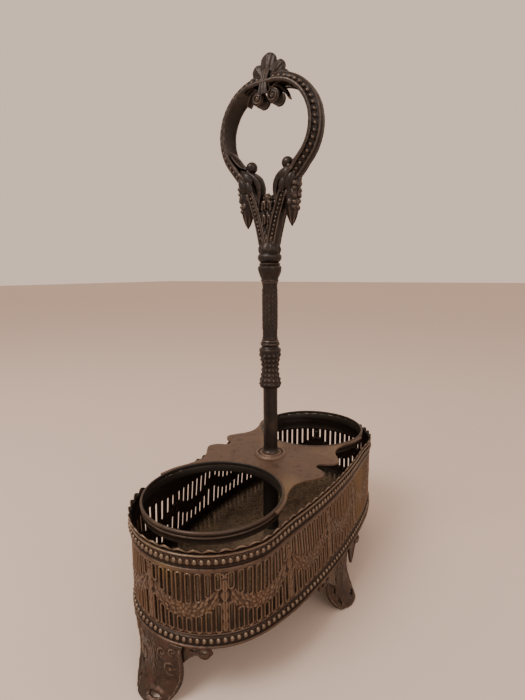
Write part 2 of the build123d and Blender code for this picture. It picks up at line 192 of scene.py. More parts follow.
def curvature(mesh):
    """Stores each point's curvature, per mm: above 0 on edges and high points, below 0 in hollows."""
    count = len(mesh.vertices)
    at, normal = np.empty(count * 3), np.empty(count * 3)
    mesh.vertices.foreach_get("co", at)
    mesh.vertex_normals.foreach_get("vector", normal)
    at, normal = at.reshape(-1, 3) / MM, normal.reshape(-1, 3)
    ends = np.empty(len(mesh.edges) * 2, np.int32)
    mesh.edges.foreach_get("vertices", ends)
    a, b = ends.reshape(-1, 2).T
    along = at[b] - at[a]
    length = np.maximum((along**2).sum(1), 0.09)
    bend_a = -2 * (along * normal[a]).sum(1) / length
    bend_b = 2 * (along * normal[b]).sum(1) / length
    number = np.maximum(np.bincount(a, minlength=count) + np.bincount(b, minlength=count), 1)
    total = np.bincount(a, bend_a, count) + np.bincount(b, bend_b, count)
    bend = np.clip(total / number, -3, 3)
    spread = (np.bincount(a, bend[b], count) + np.bincount(b, bend[a], count)) / number
    tone = np.empty(count, np.float32)
    mesh.attributes["tone"].data.foreach_get("value", tone)
    mesh.attributes.remove(mesh.attributes["tone"])
    stored = mesh.attributes.new("relief", "FLOAT", "POINT")
    stored.data.foreach_set("value", (0.55 * bend + 0.45 * spread + tone).astype(np.float32))


def roughen(mesh, depth, size):
    """Moves each point along its normal by cloudy noise, as on a casting."""
    normals = [n.vector.copy() for n in mesh.vertex_normals]
    for vertex, normal in zip(mesh.vertices, normals):
        swell = noise.fractal(vertex.co * (1 / (size * MM)), 0.9, 2.1, 3)
        vertex.co += normal * swell * depth * MM


def make(
    shape, node, suffix, body, slot, material=None, sharp=38, cast=0.0, cast_size=3.0, sheet=0.0, turn=True
):
    """Makes the visible piece of a CAD node from a shape, gives it its slot's finish, hangs it on its body
    and hides the CAD node.

    cast is the depth of its rough skin and sheet its thickness, in mm; turn lets Blender turn the
    faces outward, and edges sharper than sharp, in degrees, stay crisp."""
    name = f"{node}_{suffix}"
    mesh = bpy.data.meshes.new(name)
    points = np.concatenate(shape.points) - (0, 0, TABLE_LEVEL)
    mesh.from_pydata((points * MM).tolist(), [], shape.faces)
    tones = np.concatenate(shape.tones).astype(np.float32)
    mesh.attributes.new("tone", "FLOAT", "POINT").data.foreach_set("value", tones)
    work = bmesh.new()
    work.from_mesh(mesh)
    bmesh.ops.remove_doubles(work, verts=work.verts, dist=WELD * MM)
    bmesh.ops.delete(work, geom=[v for v in work.verts if not v.link_faces], context="VERTS")
    if turn:
        bmesh.ops.recalc_face_normals(work, faces=work.faces)
    work.to_mesh(mesh)
    work.free()
    mesh.update()
    if cast:
        roughen(mesh, cast, cast_size)
        for vertex in mesh.vertices:
            vertex.co = [min(max(v, a), b) for v, a, b in zip(vertex.co, CAD_LOW, CAD_HIGH)]
        mesh.update()
    curvature(mesh)
    mesh.shade_smooth()
    mesh.set_sharp_from_angle(angle=radians(sharp))
    piece = bpy.data.objects.new(name, mesh)
    bpy.context.scene.collection.objects.link(piece)
    mesh.materials.append(material or FINISH[slot])
    if sheet:
        solid = piece.modifiers.new("sheet", "SOLIDIFY")
        solid.thickness, solid.offset = sheet * MM, -1
    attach(piece, body)
    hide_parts(node)
    return piece


def lathe(profile, segments=72, centre=(0, 0), wave=None):
    """A closed (radius, height) profile turned about an upright axis.

    wave(angle, height, radius) is added to the radius."""
    radius, height = (column[None, :] for column in np.asarray(profile, float).T)
    angle = np.linspace(0, 2 * pi, segments, endpoint=False)[:, None]
    radius, height = radius + 0 * angle, height + 0 * angle
    if wave is not None:
        radius = np.maximum(radius + wave(angle, height, radius), 0.0)
    x, y = centre[0] + radius * np.cos(angle), centre[1] + radius * np.sin(angle)
    return Shape().grid(np.stack([x, y, height], axis=-1), wrap_rows=True, wrap_columns=True)


def sweep(path, section_at):
    """Sweeps a closed section along a path in the YZ plane, with flat ends.

    section_at(share) gives (x, outward) pairs; outward lies on the path's right-hand side."""
    path = np.asarray(path, float)
    ahead = np.gradient(path, axis=0)
    ahead /= np.linalg.norm(ahead, axis=1)[:, None]
    side = np.stack([ahead[:, 1], -ahead[:, 0]], axis=1)
    rings = []
    for step, (at, out) in enumerate(zip(path, side)):
        section = np.asarray(section_at(step / (len(path) - 1)), float)
        rings.append(np.column_stack([section[:, 0], at + section[:, 1:2] * out]))
    shape = Shape().grid(np.array(rings), wrap_columns=True)
    count = len(rings[0])
    last = (len(path) - 1) * count
    shape.faces += [list(range(count)), [last + i for i in reversed(range(count))]]
    return shape


def oval(half_x, half_out, count=16, flutes=0, depth=0.0):
    """An oval section, fluted if asked."""
    turn = np.linspace(0, 2 * pi, count, endpoint=False)
    swell = 1 + depth * np.cos(flutes * turn)
    return np.column_stack([half_x * np.cos(turn) * swell, half_out * np.sin(turn) * swell])


def rim_place(distance, inset):
    """Plan points at distances along the oval, inset from the lip, and the way out there."""
    distance, inset = np.broadcast_arrays(np.mod(distance, PERIMETER), inset)
    x, y, out_x, out_y = (np.zeros(distance.shape) for _ in range(4))
    start = 0.0
    for (cx, cy), radius, first, length in OVAL_ARCS:
        here = (distance >= start) & (distance <= start + length)
        angle = first + (distance - start) / radius
        x = np.where(here, cx + (radius - inset) * np.cos(angle), x)
        y = np.where(here, cy + (radius - inset) * np.sin(angle), y)
        out_x, out_y = np.where(here, np.cos(angle), out_x), np.where(here, np.sin(angle), out_y)
        start += length
    return x, y, out_x, out_y


def side_lean(distance, height):
    """How far the long sides lean in at a height; the two ends stand upright."""
    from_tip = np.mod(distance, PERIMETER / 2)
    from_tip = np.minimum(from_tip, PERIMETER / 2 - from_tip)
    lean = LEAN_AT_BEADS + LEAN_PER_MM * (height - UPPER_BEADS)
    lean = lean + np.where(np.mod(distance, PERIMETER) > PERIMETER / 2, LEFT_LEAN_EXTRA, 0.0)
    return smoothstep(LEAN_START, LEAN_FULL, from_tip) * lean


def left_sag(distance, height):
    """How far the left side's lip has sunk, mostly at its top."""
    from_middle = np.abs(np.mod(distance, PERIMETER) - 0.75 * PERIMETER)
    return LEFT_SAG * smoothstep(76.0, 40.0, from_middle) * smoothstep(WALL_BOTTOM, CREST_TOP, height)


def rim_surface(distance, height, outward):
    """Points of a surface that follows the oval: outward is measured from the lip."""
    distance, height, outward = np.broadcast_arrays(distance, height, outward)
    x, y, _, _ = rim_place(distance, side_lean(distance, height) - outward)
    return np.stack([x, y, height - left_sag(distance, height)], axis=-1)


# ---- Materials ----
def metal(
    name, dark, base, warm, worn, brass, brass_share=0.0, rough=0.45, metallic=0.8, wear=1.0,
    grime_and_shade=1.0, bump=0.5, grain=900.0, patch=60.0, axis=None, painted_shade_rim=False,
):
    """Tarnished metal: patchy brown, dark in hollows, worn bright on edges, brass in places.

    With an axis (its x), faces turned towards that upright axis, the inner faces, are darkened as painted
    shade;
    the rim option paints shade on the oval's outer part, near the walls. grain and patch are noise scales."""
    material = bpy.data.materials.new(name)
    material.use_nodes = True
    tree = material.node_tree
    tree.nodes.clear()

    def node(kind, inputs=None, **settings):
        """A node whose inputs are linked to sockets or set to values."""
        made = tree.nodes.new(kind)
        for key, setting in settings.items():
            setattr(made, key, setting)
        for key, source in (inputs or {}).items():
            socket = made.inputs[key]
            if isinstance(source, bpy.types.NodeSocket):
                tree.links.new(source, socket)
            else:
                socket.default_value = (*source, 1) if socket.type == "RGBA" else source
        return made

    def value(source, low, high, to_low=0.0, to_high=1.0):
        """The source eased from the span low..high to another span."""
        inputs = {"Value": source, "From Min": low, "From Max": high, "To Min": to_low, "To Max": to_high}
        return node("ShaderNodeMapRange", inputs, interpolation_type="SMOOTHSTEP").outputs["Result"]

    def cloud(scale, detail, roughness, offset=0.0):
        moved = node("ShaderNodeMapping", {"Vector": where, "Location": (offset, offset * 0.7, -offset)})
        inputs = {"Vector": moved.outputs["Vector"], "Scale": scale, "Detail": detail, "Roughness": roughness}
        return node("ShaderNodeTexNoise", inputs).outputs["Fac"]

    def times(a, b):
        return node("ShaderNodeMath", {0: a, 1: b}, operation="MULTIPLY").outputs[0]

    def mix(a, b, factor, blend="MIX"):
        inputs = {0: factor, 6: a, 7: b}
        return node("ShaderNodeMix", inputs, data_type="RGBA", blend_type=blend).outputs[2]

    def vector(operation, *sources):
        return node("ShaderNodeVectorMath", dict(enumerate(sources)), operation=operation).outputs

    place = node("ShaderNodeTexCoord").outputs
    where = place["Object"]
    relief = node("ShaderNodeAttribute", attribute_name="relief").outputs["Fac"]
    patches = cloud(patch, 4.0, 0.62)
    fine = cloud(grain, 4.0, 0.7, 0.3)
    middle = cloud(260.0, 3.0, 0.6, 0.9)

    # Patches of warm brown, stains and bare brass.
    colour = mix(base, warm, value(patches, 0.38, 0.66))
    colour = mix(colour, dark, times(value(middle, 0.5, 0.72), 0.55 * grime_and_shade))
    if brass_share:
        spread = cloud(34.0, 3.0, 0.55, 2.3)
        spread = value(spread, 0.62 - 0.2 * brass_share, 0.80 - 0.16 * brass_share)
        colour = mix(colour, brass, times(spread, 0.75))
    # Dirt in the hollows, rubbed edges, and a fine grain over all. The hollows take painted shade too, and
    # the edges painted highlight, where a piece's tone paints them.
    colour = mix(colour, dark, times(value(relief, -0.12, -1.0), min(1.0, 0.85 * grime_and_shade)))
    rub_and_highlight = times(value(relief, 0.12, 1.15), value(middle, 0.3, 0.62, 0.35, 1.0))
    rub_and_highlight = times(rub_and_highlight, wear)
    colour = mix(colour, worn, rub_and_highlight)
    colour = mix(colour, mix((0.55, 0.55, 0.55), (1.35, 1.32, 1.28), fine), 0.5, "MULTIPLY")
    # Painted shade: the floor's outer part, near the walls, is darkened.
    if painted_shade_rim:
        in_oval = vector("MULTIPLY", where, (1 / (HALF_LENGTH * MM), 1 / (HALF_WIDTH * MM), 0))[0]
        colour = mix(colour, dark, value(vector("LENGTH", in_oval)["Value"], 0.74, 0.94))
    # Painted shade: faces turned towards the upright axis, the inner faces, are darkened.
    if axis is not None:
        from_axis = vector("SUBTRACT", where, (axis * MM, 0, 0))[0]
        away = vector("NORMALIZE", vector("MULTIPLY", from_axis, (1, 1, 0))[0])[0]
        facing = vector("DOT_PRODUCT", place["Normal"], away)["Value"]
        colour = mix(colour, dark, times(value(facing, -0.10, -0.45), 0.92))

    smooth = value(fine, 0.25, 0.75, rough - 0.08, rough + 0.14)
    polish = {0: smooth, 1: times(rub_and_highlight, 0.14)}
    pits = node("ShaderNodeTexVoronoi", {"Vector": where, "Scale": grain * 0.55}).outputs["Distance"]
    height = {0: value(pits, 0.0, 0.28), 1: 0.35, 2: fine}
    height = node("ShaderNodeMath", height, operation="MULTIPLY_ADD").outputs[0]
    grainy = node("ShaderNodeBump", {"Strength": bump, "Distance": PIT_DEPTH * MM, "Height": height})
    shader = {
        "Base Color": colour,
        "Roughness": node("ShaderNodeMath", polish, operation="SUBTRACT", use_clamp=True).outputs[0],
        "Metallic": value(patches, 0.2, 0.8, metallic - 0.12, metallic),
        "Normal": grainy.outputs["Normal"],
    }
    shader = node("ShaderNodeBsdfPrincipled", shader).outputs["BSDF"]
    node("ShaderNodeOutputMaterial", {"Surface": shader})
    return material


FINISH = {
    # The gallery and its mouldings are darkened on their inner faces, towards the middle, as painted shade.
    "gallery_metal": metal(
        "gallery_metal_worn_shaded_inside", (0.014, 0.008, 0.006), (0.080, 0.051, 0.035), (0.098, 0.055, 0.035),
        (0.190, 0.134, 0.092), (0.165, 0.108, 0.040), brass_share=0.45, rough=0.42, metallic=0.72, axis=0.0,
    ),
    "border_metal": metal(
        "border_metal_worn_shaded_inside", (0.014, 0.009, 0.007), (0.086, 0.056, 0.040), (0.100, 0.060, 0.042),
        (0.235, 0.188, 0.142), (0.15, 0.105, 0.055), brass_share=0.35, rough=0.40, metallic=0.74,
        wear=0.85, axis=0.0,
    ),
    # Painted shade: the rim option darkens the floor near the walls.
    "floor_metal": metal(
        "floor_metal_worn_shaded_rim", (0.036, 0.027, 0.019), (0.155, 0.116, 0.081), (0.19, 0.138, 0.095),
        (0.27, 0.21, 0.16), (0.235, 0.180, 0.10), brass_share=0.4, rough=0.22, metallic=0.7, bump=0.06,
        grain=190.0, patch=26.0, painted_shade_rim=True,
    ),
    # Painted shade: the pillar stands in shade inside the gallery, and this near-black colour paints that
    # shade.
    "dark_metal": metal(
        "dark_metal_painted_shade", (0.006, 0.005, 0.004), (0.014, 0.011, 0.010), (0.018, 0.014, 0.012),
        (0.05, 0.04, 0.034), (0.05, 0.04, 0.03), rough=0.5, metallic=0.5,
    ),
    "foot_metal": metal(
        "foot_metal_worn", (0.010, 0.007, 0.005), (0.044, 0.030, 0.023), (0.066, 0.038, 0.028),
        (0.26, 0.20, 0.16), (0.14, 0.095, 0.055), brass_share=0.25, rough=0.36, metallic=0.74, bump=0.95,
        grime_and_shade=1.2, patch=110.0,
    ),
    "plate_metal": metal(
        "plate_metal_worn", (0.028, 0.018, 0.013), (0.102, 0.066, 0.047), (0.120, 0.074, 0.052),
        (0.22, 0.165, 0.125), (0.18, 0.125, 0.07), brass_share=0.5, rough=0.50, metallic=0.60, bump=0.55,
        patch=75.0,
    ),
    "handle_metal": metal(
        "handle_metal_worn", (0.005, 0.004, 0.004), (0.017, 0.0135, 0.013), (0.026, 0.0185, 0.0155),
        (0.155, 0.120, 0.100), (0.06, 0.042, 0.03), brass_share=0.15, rough=0.40, metallic=0.66, wear=0.8,
    ),
    "hardware_metal": metal(
        "hardware_metal_worn", (0.05, 0.045, 0.04), (0.26, 0.24, 0.22), (0.22, 0.19, 0.16),
        (0.55, 0.52, 0.48), (0.3, 0.24, 0.16), rough=0.42, metallic=0.85,
    ),
}
# Each collar's faces turned towards its own axis, its inner faces, are darkened as painted shade.
COLLAR_FINISH = {
    side: metal(
        f"collar_metal_worn_shaded_inside_{name}", (0.019, 0.0155, 0.0135), (0.038, 0.027, 0.021), (0.050, 0.033, 0.025),
        (0.135, 0.10, 0.08), (0.12, 0.085, 0.05), rough=0.44, metallic=0.7, brass_share=0.2, wear=0.6,
        axis=side * RING_CENTRE,
    )
    for side, name in RING_SIDES
}


# ---- Gallery: pierced and embossed sheet ----
# Columns of points at each slot, from its middle; the slot opens between the four from -0.54 to 0.54.
COLUMNS_PER_SLOT = (-2.34, -2.0, -1.68, -1.34, -0.96, -0.54, -0.2, 0.2, 0.54, 0.96, 1.34, 1.68, 2.0)
SLOT_FIRST_COLUMN = 5
ROW_STEP = 0.5
HALF_BAY = BAY / 2
TONE_PER_MM = 1.2
FLOWER_HEIGHT, LOW_LINE = 4.0, 45.7
HUSKS_TOP, HUSK_PITCH, BOW_HEIGHT = 71.6, 5.1, 73.8


def swag_rise(offset):
    return SWAG_RISE * (offset / LAST_SLOT) ** 2


def slot_spans(offset):
    """The (bottom, top) of the slots under and over the swag, at a distance from mid-bay."""
    rise = swag_rise(offset)
    return (SLOT_BOTTOM, SWAG_LOW + rise), (SWAG_LOW + SWAG_HEIGHT + rise, SLOT_TOP)


def clusters(across, up, size, seed):
    """Rounded petals: 1 at the middle of each scattered cell, falling to 0 between them."""
    near = np.array(
        [noise.voronoi(Vector((a / size, b / size, seed)), distance_metric="DISTANCE")[0][0]
         for a, b in zip(across.ravel(), up.ravel())]
    ).reshape(across.shape)
    return np.clip(1 - (near / 0.62) ** 2, 0, 1)


def bay_relief(across, up):
    """How far the stamped ornament of one bay stands out, in mm; across is from mid-bay."""
    inside = np.abs(across)
    height = np.zeros(across.shape)
    # A raised rim round every slot.
    for offset in SLOT_OFFSETS:
        for low, high in slot_spans(offset):
            over = np.maximum(np.maximum(low + 0.4 - up, up - high + 0.4), 0)
            from_slot = np.hypot(np.maximum(np.abs(across - offset) - 0.1, 0), over) - 0.46
            height = np.maximum(height, 0.85 * ridge(from_slot - 0.72, 0.46))
    # The leafy swag.
    middle = SWAG_LOW + SWAG_HEIGHT / 2 + swag_rise(across)
    leafy = 0.55 * np.sin(inside * 2.1) + 0.35 * np.sin(inside * 4.7 + 1)
    in_swag = smoothstep(4.2, 3.1, np.abs(up - middle) + leafy * 0.5)
    in_swag = in_swag * smoothstep(HALF_BAY - 2.4, HALF_BAY - 3.6, inside)
    petals = clusters(inside, up - swag_rise(across), 2.1, 1.5)
    leaves = clusters(inside * 0.8, (up - swag_rise(across)) * 1.3, 1.25, 4.5)
    swag = in_swag * (0.34 + 0.62 * petals + 0.22 * leaves)
    # The flower in the middle of the swag, with five petals round an eye.
    over_eye = up - SWAG_LOW - FLOWER_HEIGHT
    far, turn = np.hypot(across, over_eye), np.arctan2(over_eye, across)
    flower = 0.55 + 0.4 * np.cos(5 * turn + pi / 2) * smoothstep(0.8, 2.0, far)
    flower = smoothstep(3.3, 2.3, far) * flower
    swag = np.maximum(swag, flower + 0.65 * ridge(far, 0.8) - 0.25 * ridge(far - 1.25, 0.35))
    # Husks hang one under another where two bays meet, below a bow.
    aside = HALF_BAY - inside
    drop = np.clip((HUSKS_TOP - up) / HUSK_PITCH, 0, 4.999)
    share = drop - np.floor(drop)
    half = 2.35 * (0.34 + 0.66 * np.sin(pi * np.clip(share * 0.9 + 0.08, 0, 1)))
    half = half * (1 - 0.04 * np.floor(drop))
    husk = np.sqrt(np.clip(1 - (aside / half) ** 2, 0, 1)) * (0.75 + 0.35 * share)
    hanging = (up < HUSKS_TOP) & (up > SLOT_BOTTOM)
    husk = husk * hanging - 0.22 * ridge(aside, 0.24) * hanging
    loop = np.hypot((aside - 1.45) / 0.95, (up - BOW_HEIGHT) / 0.85)
    knot = np.hypot(aside, up - BOW_HEIGHT + 0.6)
    bow = 0.75 * ridge(loop - 1.0, 0.45) + 0.9 * ridge(knot, 0.9)
    tail = 0.6 * ridge(aside - 1.1 - 0.2 * (BOW_HEIGHT - 1.2 - up), 0.42)
    tail = tail * ((up < BOW_HEIGHT - 0.8) & (up > HUSKS_TOP - 3))
    pendant = np.maximum(np.maximum(husk, bow), tail) * smoothstep(2.7, 2.3, aside)
    height = np.maximum(np.maximum(height, swag), np.maximum(pendant, 0))
    return np.maximum(height, 0.5 * ridge(up - LOW_LINE, 0.32))


def gallery_bay():
    """One bay's columns, heights, relief and closed cells; every bay repeats it."""
    columns = [offset + place for offset in SLOT_OFFSETS for place in COLUMNS_PER_SLOT]
    plain_start = LAST_SLOT + SLOT_PITCH / 2
    columns += list(np.linspace(plain_start, BAY - LAST_SLOT - SLOT_PITCH / 2, 5, endpoint=False))
    columns = np.array(columns)
    rows = np.linspace(WALL_BOTTOM, WALL_TOP, int((WALL_TOP - WALL_BOTTOM) / ROW_STEP) + 1)
    across = np.repeat(columns[:, None], len(rows), axis=1)
    up = np.repeat(rows[None, :], len(columns), axis=0)
    closed = np.ones((len(columns), len(rows) - 1), bool)
    for index, offset in enumerate(SLOT_OFFSETS):
        left = index * len(COLUMNS_PER_SLOT) + SLOT_FIRST_COLUMN
        for low, high in slot_spans(offset):
            first = int(np.argmin(np.abs(rows - low - 0.15)))
            last = int(np.argmin(np.abs(rows - high + 0.15)))
            # The slot's ends are rounded by lowering the outer two of its four columns.
            for column, arch in enumerate((0.28, 0.0, 0.0, 0.28), left):
                up[column, first] = low + arch
                up[column, last] = high - arch
            closed[left:left + 3, first:last] = False
    folded = np.where(across > HALF_BAY, across - BAY, across)
    return columns, up, bay_relief(folded, up), closed


def make_gallery():
    columns, up, relief, closed = gallery_bay()
    starts = FIRST_PENDANT + BAY * (np.arange(-3, BAYS + 1) + 0.5)
    distance = (starts[:, None] + columns[None, :]).ravel()
    up, relief, closed = (np.tile(part, (len(starts), 1)) for part in (up, relief, closed))
    joints = (-END_ARC, END_ARC, END_ARC + 2 * SIDE_ARC, 3 * END_ARC + 2 * SIDE_ARC, PERIMETER - END_ARC)
    cuts = [int(np.argmin(np.abs(distance - joint))) for joint in joints]
    nodes = ("gallery_end_near", "gallery_side_right", "gallery_end_far", "gallery_side_left")
    for node, first, last in zip(nodes, cuts, cuts[1:]):
        some = slice(first, last + 1)
        along = distance[some][:, None]
        dents = 0.18 * np.sin(along / 11.0 + 0.6) * np.sin(up[some] / 9.0 + along / 37.0)
        points = rim_surface(along, up[some], relief[some] - WALL_INSET + dents)
        tone = TONE_PER_MM * (np.minimum(relief[some], 0.8) - 0.42)
        strip = Shape().grid(points, keep=closed[some][:-1], tone=tone)
        make(strip, node, "strip", "stand", "gallery_metal", sheet=SHEET, turn=False, sharp=60)


UPPER_PROFILE = (
    (-3.0, 76.2), (-1.9, 75.75), (-1.35, 75.9), (-1.08, 76.4), (-1.0, 77.0), (-1.15, 77.6), (-1.5, 78.0),
    (-2.0, 78.2), (-2.2, 78.6), (-2.2, 79.3), (-1.9, 79.75), (-1.5, 80.0), (-1.35, 80.4), (-1.35, 83.0),
    (-1.5, 83.25), (-1.75, 83.5), (-1.65, 83.9), (-0.95, 84.1), (-0.6, 84.45), (-0.62, 84.95), (-0.95, 85.2),
    (-1.6, 85.25), (-2.0, 84.6), (-2.4, 80.0), (-2.7, 77.0),
)
LOWER_PROFILE = (
    (-4.6, 38.9), (-4.0, 38.55), (-1.2, 38.5), (-0.5, 38.6), (-0.18, 38.95), (-0.22, 39.5), (-0.55, 39.85),
    (-1.2, 40.0), (-1.4, 40.4), (-1.4, 43.3), (-1.7, 43.6), (-2.05, 43.9), (-2.05, 44.25), (-1.65, 44.4),
    (-1.45, 44.7), (-1.7, 45.05), (-2.4, 45.1), (-2.8, 43.6), (-3.2, 42.2), (-4.6, 42.1),
)


def make_border(node, profile, bead_height, bead_out, bead_radii):
    """A moulding with its row of beads; the profile is (outward from the lip, height)."""
    profile = np.array(profile)
    along = np.linspace(0, PERIMETER, 520, endpoint=False)
    points = rim_surface(along[:, None], profile[None, :, 1], profile[None, :, 0])
    # Painted shade: the tone darkens the bead channel, between and behind the beads; it also darkens the
    # lower moulding's bottom edge.
    channel = -1.0 * smoothstep(-1.0, -1.35, profile[:, 0]) - 0.9 * smoothstep(40.6, 40.2, profile[:, 1])
    border = Shape().grid(points, wrap_rows=True, wrap_columns=True, tone=np.tile(channel, len(along)))
    for bead in range(BEADS):
        at = PERIMETER * (bead + 0.5) / BEADS
        x, y, out_x, out_y = (float(v) for v in rim_place(at, side_lean(at, bead_height) - bead_out))
        axes = ((out_x, out_y, 0), (-out_y, out_x, 0), (0, 0, 1))
        border.ball((x, y, bead_height - left_sag(at, bead_height)), bead_radii, 10, 8, axes)
    make(border, node, "beaded", "stand", "border_metal", cast=0.03)


def make_crest():
    """The scalloped edge: a row of small pointed shells."""
    per_scallop, rows = 12, 13
    count = SCALLOPS * per_scallop
    along = PERIMETER * np.arange(count) / count
    across = (along * SCALLOPS / PERIMETER) % 1.0
    across = 2 * np.abs(np.where(across > 0.5, across - 1, across))
    top = CREST_TOP - 0.05 - SCALLOP_DEPTH * across**1.5
    share = np.linspace(0, 1, rows)[None, :]
    up = LIP_TOP - 0.2 + (top[:, None] - LIP_TOP + 0.2) * share
    lump = smoothstep(0.48, 0.86, share) * (1 - 0.62 * across[:, None] ** 2)
    out = -1.55 + 1.25 * lump - 0.25 * ridge(share - 0.42, 0.16)
    points = rim_surface(along[:, None], up, out)
    # The tone lightens the curled tips, partly rubbed metal and partly a painted highlight, and darkens the
    # scallops' lower part.
    crest = Shape().grid(points, wrap_rows=True, tone=1.8 * (lump - 0.55))
    make(crest, "crest", "scallops", "stand", "border_metal", sheet=0.6, turn=False, cast=0.05)


# ---- Feet ----
# Where each foot stands along the oval; the near one is a little off the tip.
FEET = (
    ("foot_near", -1.5), ("foot_right", END_ARC + SIDE_ARC), ("foot_far", 2 * (END_ARC + SIDE_ARC)),
    ("foot_left", 3 * (END_ARC + SIDE_ARC)),
)
# Sections of the foot's shell: height, half width, and how far its middle and its edges stand out.
SHELL_SECTIONS = (
    (38.5, 15.2, -0.6, -3.0), (34.5, 15.0, 0.1, -3.6), (31.0, 14.9, 0.5, -4.4), (27.0, 14.9, 0.7, -5.0),
    (23.0, 14.9, 0.9, -4.8), (20.0, 14.6, 1.4, -4.1), (17.5, 14.0, 2.6, -3.1), (15.0, 13.0, 4.4, -1.7),
    (13.0, 11.7, 6.1, -0.1), (11.6, 10.2, 7.3, 1.4), (10.9, 9.2, 7.8, 2.6),
)
# Openings of the shell: across, height, half width and half height.
SHELL_OPENINGS = (
    (3.9, 13.6, 3.0, 0.75), (-8.2, 28.0, 1.0, 1.0), (-9.0, 21.4, 0.85, 2.4), (-8.0, 14.8, 0.9, 1.7),
)
FOOT_BOTTOM = TABLE_LEVEL + 1.06
WING_START, LOBE_AT, LOBE_RADIUS = 11.5, 25.8, 3.2
WING_OPENINGS = ((LOBE_AT, 36.0, 1.0, 1.0), (20.4, 36.6, 1.9, 0.7))


def foot_points(distance, across, outward, up):
    """Local foot measurements to row points, on the flat plane across the foot."""
    x, y, out_x, out_y = (float(v) for v in rim_place(distance, 0.0))
    return np.stack([x + outward * out_x - across * out_y, y + outward * out_y + across * out_x, up], axis=-1)


def cut_openings(across, up, openings, reach=0.34):
    """Snaps grid points to the edges of oval openings, and returns which cells stay."""
    across, up = across.copy(), up.copy()
    for cx, cz, half, tall in openings:
        far = np.hypot((across - cx) / half, (up - cz) / tall)
        near = np.abs(far - 1) * min(half, tall) < reach
        safe = np.maximum(far, 1e-6)
        across = np.where(near, cx + (across - cx) / safe, across)
        up = np.where(near, cz + (up - cz) / safe, up)
    mid_x = (across[:-1, :-1] + across[1:, 1:] + across[:-1, 1:] + across[1:, :-1]) / 4
    mid_z = (up[:-1, :-1] + up[1:, 1:] + up[:-1, 1:] + up[1:, :-1]) / 4
    stays = np.ones(mid_x.shape, bool)
    for cx, cz, half, tall in openings:
        stays &= np.hypot((mid_x - cx) / half, (mid_z - cz) / tall) > 1
    return across, up, stays


def shell_relief(across, up, share):
    """The foot's cast ornament: a raised rim all round, paired scrolls, a leaf down the middle."""
    side = np.abs(across)
    edge = np.abs(share)
    height = 0.85 * smoothstep(0.84, 0.93, edge) + 0.6 * smoothstep(TABLE_LEVEL + 2.4, TABLE_LEVEL + 1.2, up)
    height = height - 0.45 * ridge((edge - 0.76) * 12, 1.0)
    for cx, cz, size, lift in ((9.5, 26.0, 3.3, 0.5), (4.6, 32.6, 2.4, 0.45), (10.4, 34.6, 1.9, 0.5)):
        far = np.hypot(side - cx, up - cz)
        turn = np.arctan2(up - cz, side - cx)
        spiral = np.abs((far / size - 0.5 - turn / (2 * pi) + 0.5) % 1.0 - 0.5) * size
        height += lift * ridge(spiral, 0.6 * size / 2.4) * smoothstep(size * 1.25, size, far)
        height += 0.5 * lift * ridge(far, size * 0.3)
    leaf = smoothstep(3.4, 2.2, side + 0.16 * np.abs(up - 30)) * smoothstep(18, 22, up)
    height += leaf * (0.35 + 0.18 * np.cos(side * 4.2 + (up - 20) * 1.1))
    height += 0.35 * ridge(side, 0.6) * smoothstep(19, 23, up) * smoothstep(37, 34, up)
    height += 0.4 * ridge(np.hypot((across - 3.9) / 4.4, (up - 13.6) / 1.9) - 1.0, 0.3)
    return height


def make_foot(node, distance):
    """One bracket foot: a bowed, pierced shell and a wing along the frame on either side."""
    share = np.linspace(-1, 1, 75)[:, None]
    sections = curve_through(SHELL_SECTIONS, 14)
    level = np.linspace(FRAME_BOTTOM, FOOT_BOTTOM, 76)
    half, front, edge = (np.interp(-level, -sections[:, 0], sections[:, k])[None, :] for k in (1, 2, 3))
    across, up, stays = cut_openings(share * half, level[None, :] + 0 * share, SHELL_OPENINGS)
    span = np.clip(across / half, -1, 1)
    outward = edge + (front - edge) * np.sqrt(np.clip(1 - 0.96 * span**2, 0, 1)) ** 1.15
    relief = shell_relief(across, up, span) * smoothstep(38.6, 36.5, up)
    points = foot_points(distance, across, outward + np.minimum(relief, 0.75), up)
    # Rows run backwards so that the faces look outward.
    foot = Shape().grid(points[:, ::-1], keep=stays[:, ::-1])

    wing = WING_START + (LOBE_AT + LOBE_RADIUS - WING_START) * np.linspace(0, 1, 34)[:, None]
    from_lobe = wing - LOBE_AT
    low = 27.6 + 7.4 * smoothstep(11.0, 22.5, wing)
    lobe = 36.2 - np.sqrt(np.clip(LOBE_RADIUS**2 - from_lobe**2, 0, None))
    low = np.minimum(np.where(np.abs(from_lobe) < LOBE_RADIUS, np.minimum(low, lobe), low), 38.2)
    tall = FRAME_BOTTOM + (low - FRAME_BOTTOM) * np.linspace(0, 1, 20)[None, :]
    at, tall, stays = cut_openings(wing + 0 * tall, tall, WING_OPENINGS, 0.24)
    round_hole = np.hypot(at - LOBE_AT, tall - 36.0) - 1.8
    edge_rim = 0.6 * ridge((tall - low) / 1.0, 0.7) + 0.35 * ridge(round_hole, 0.5)
    outward = -1.1 + np.minimum(edge_rim, 0.7)
    for side in (-1, 1):
        points = rim_surface(distance + side * at, tall, outward)
        foot.grid(points[::-side], keep=stays[::-side])
    make(
        foot, node, "shell", "stand", "foot_metal", sheet=1.3, turn=False, cast=0.2, cast_size=2.2, sharp=60
    )


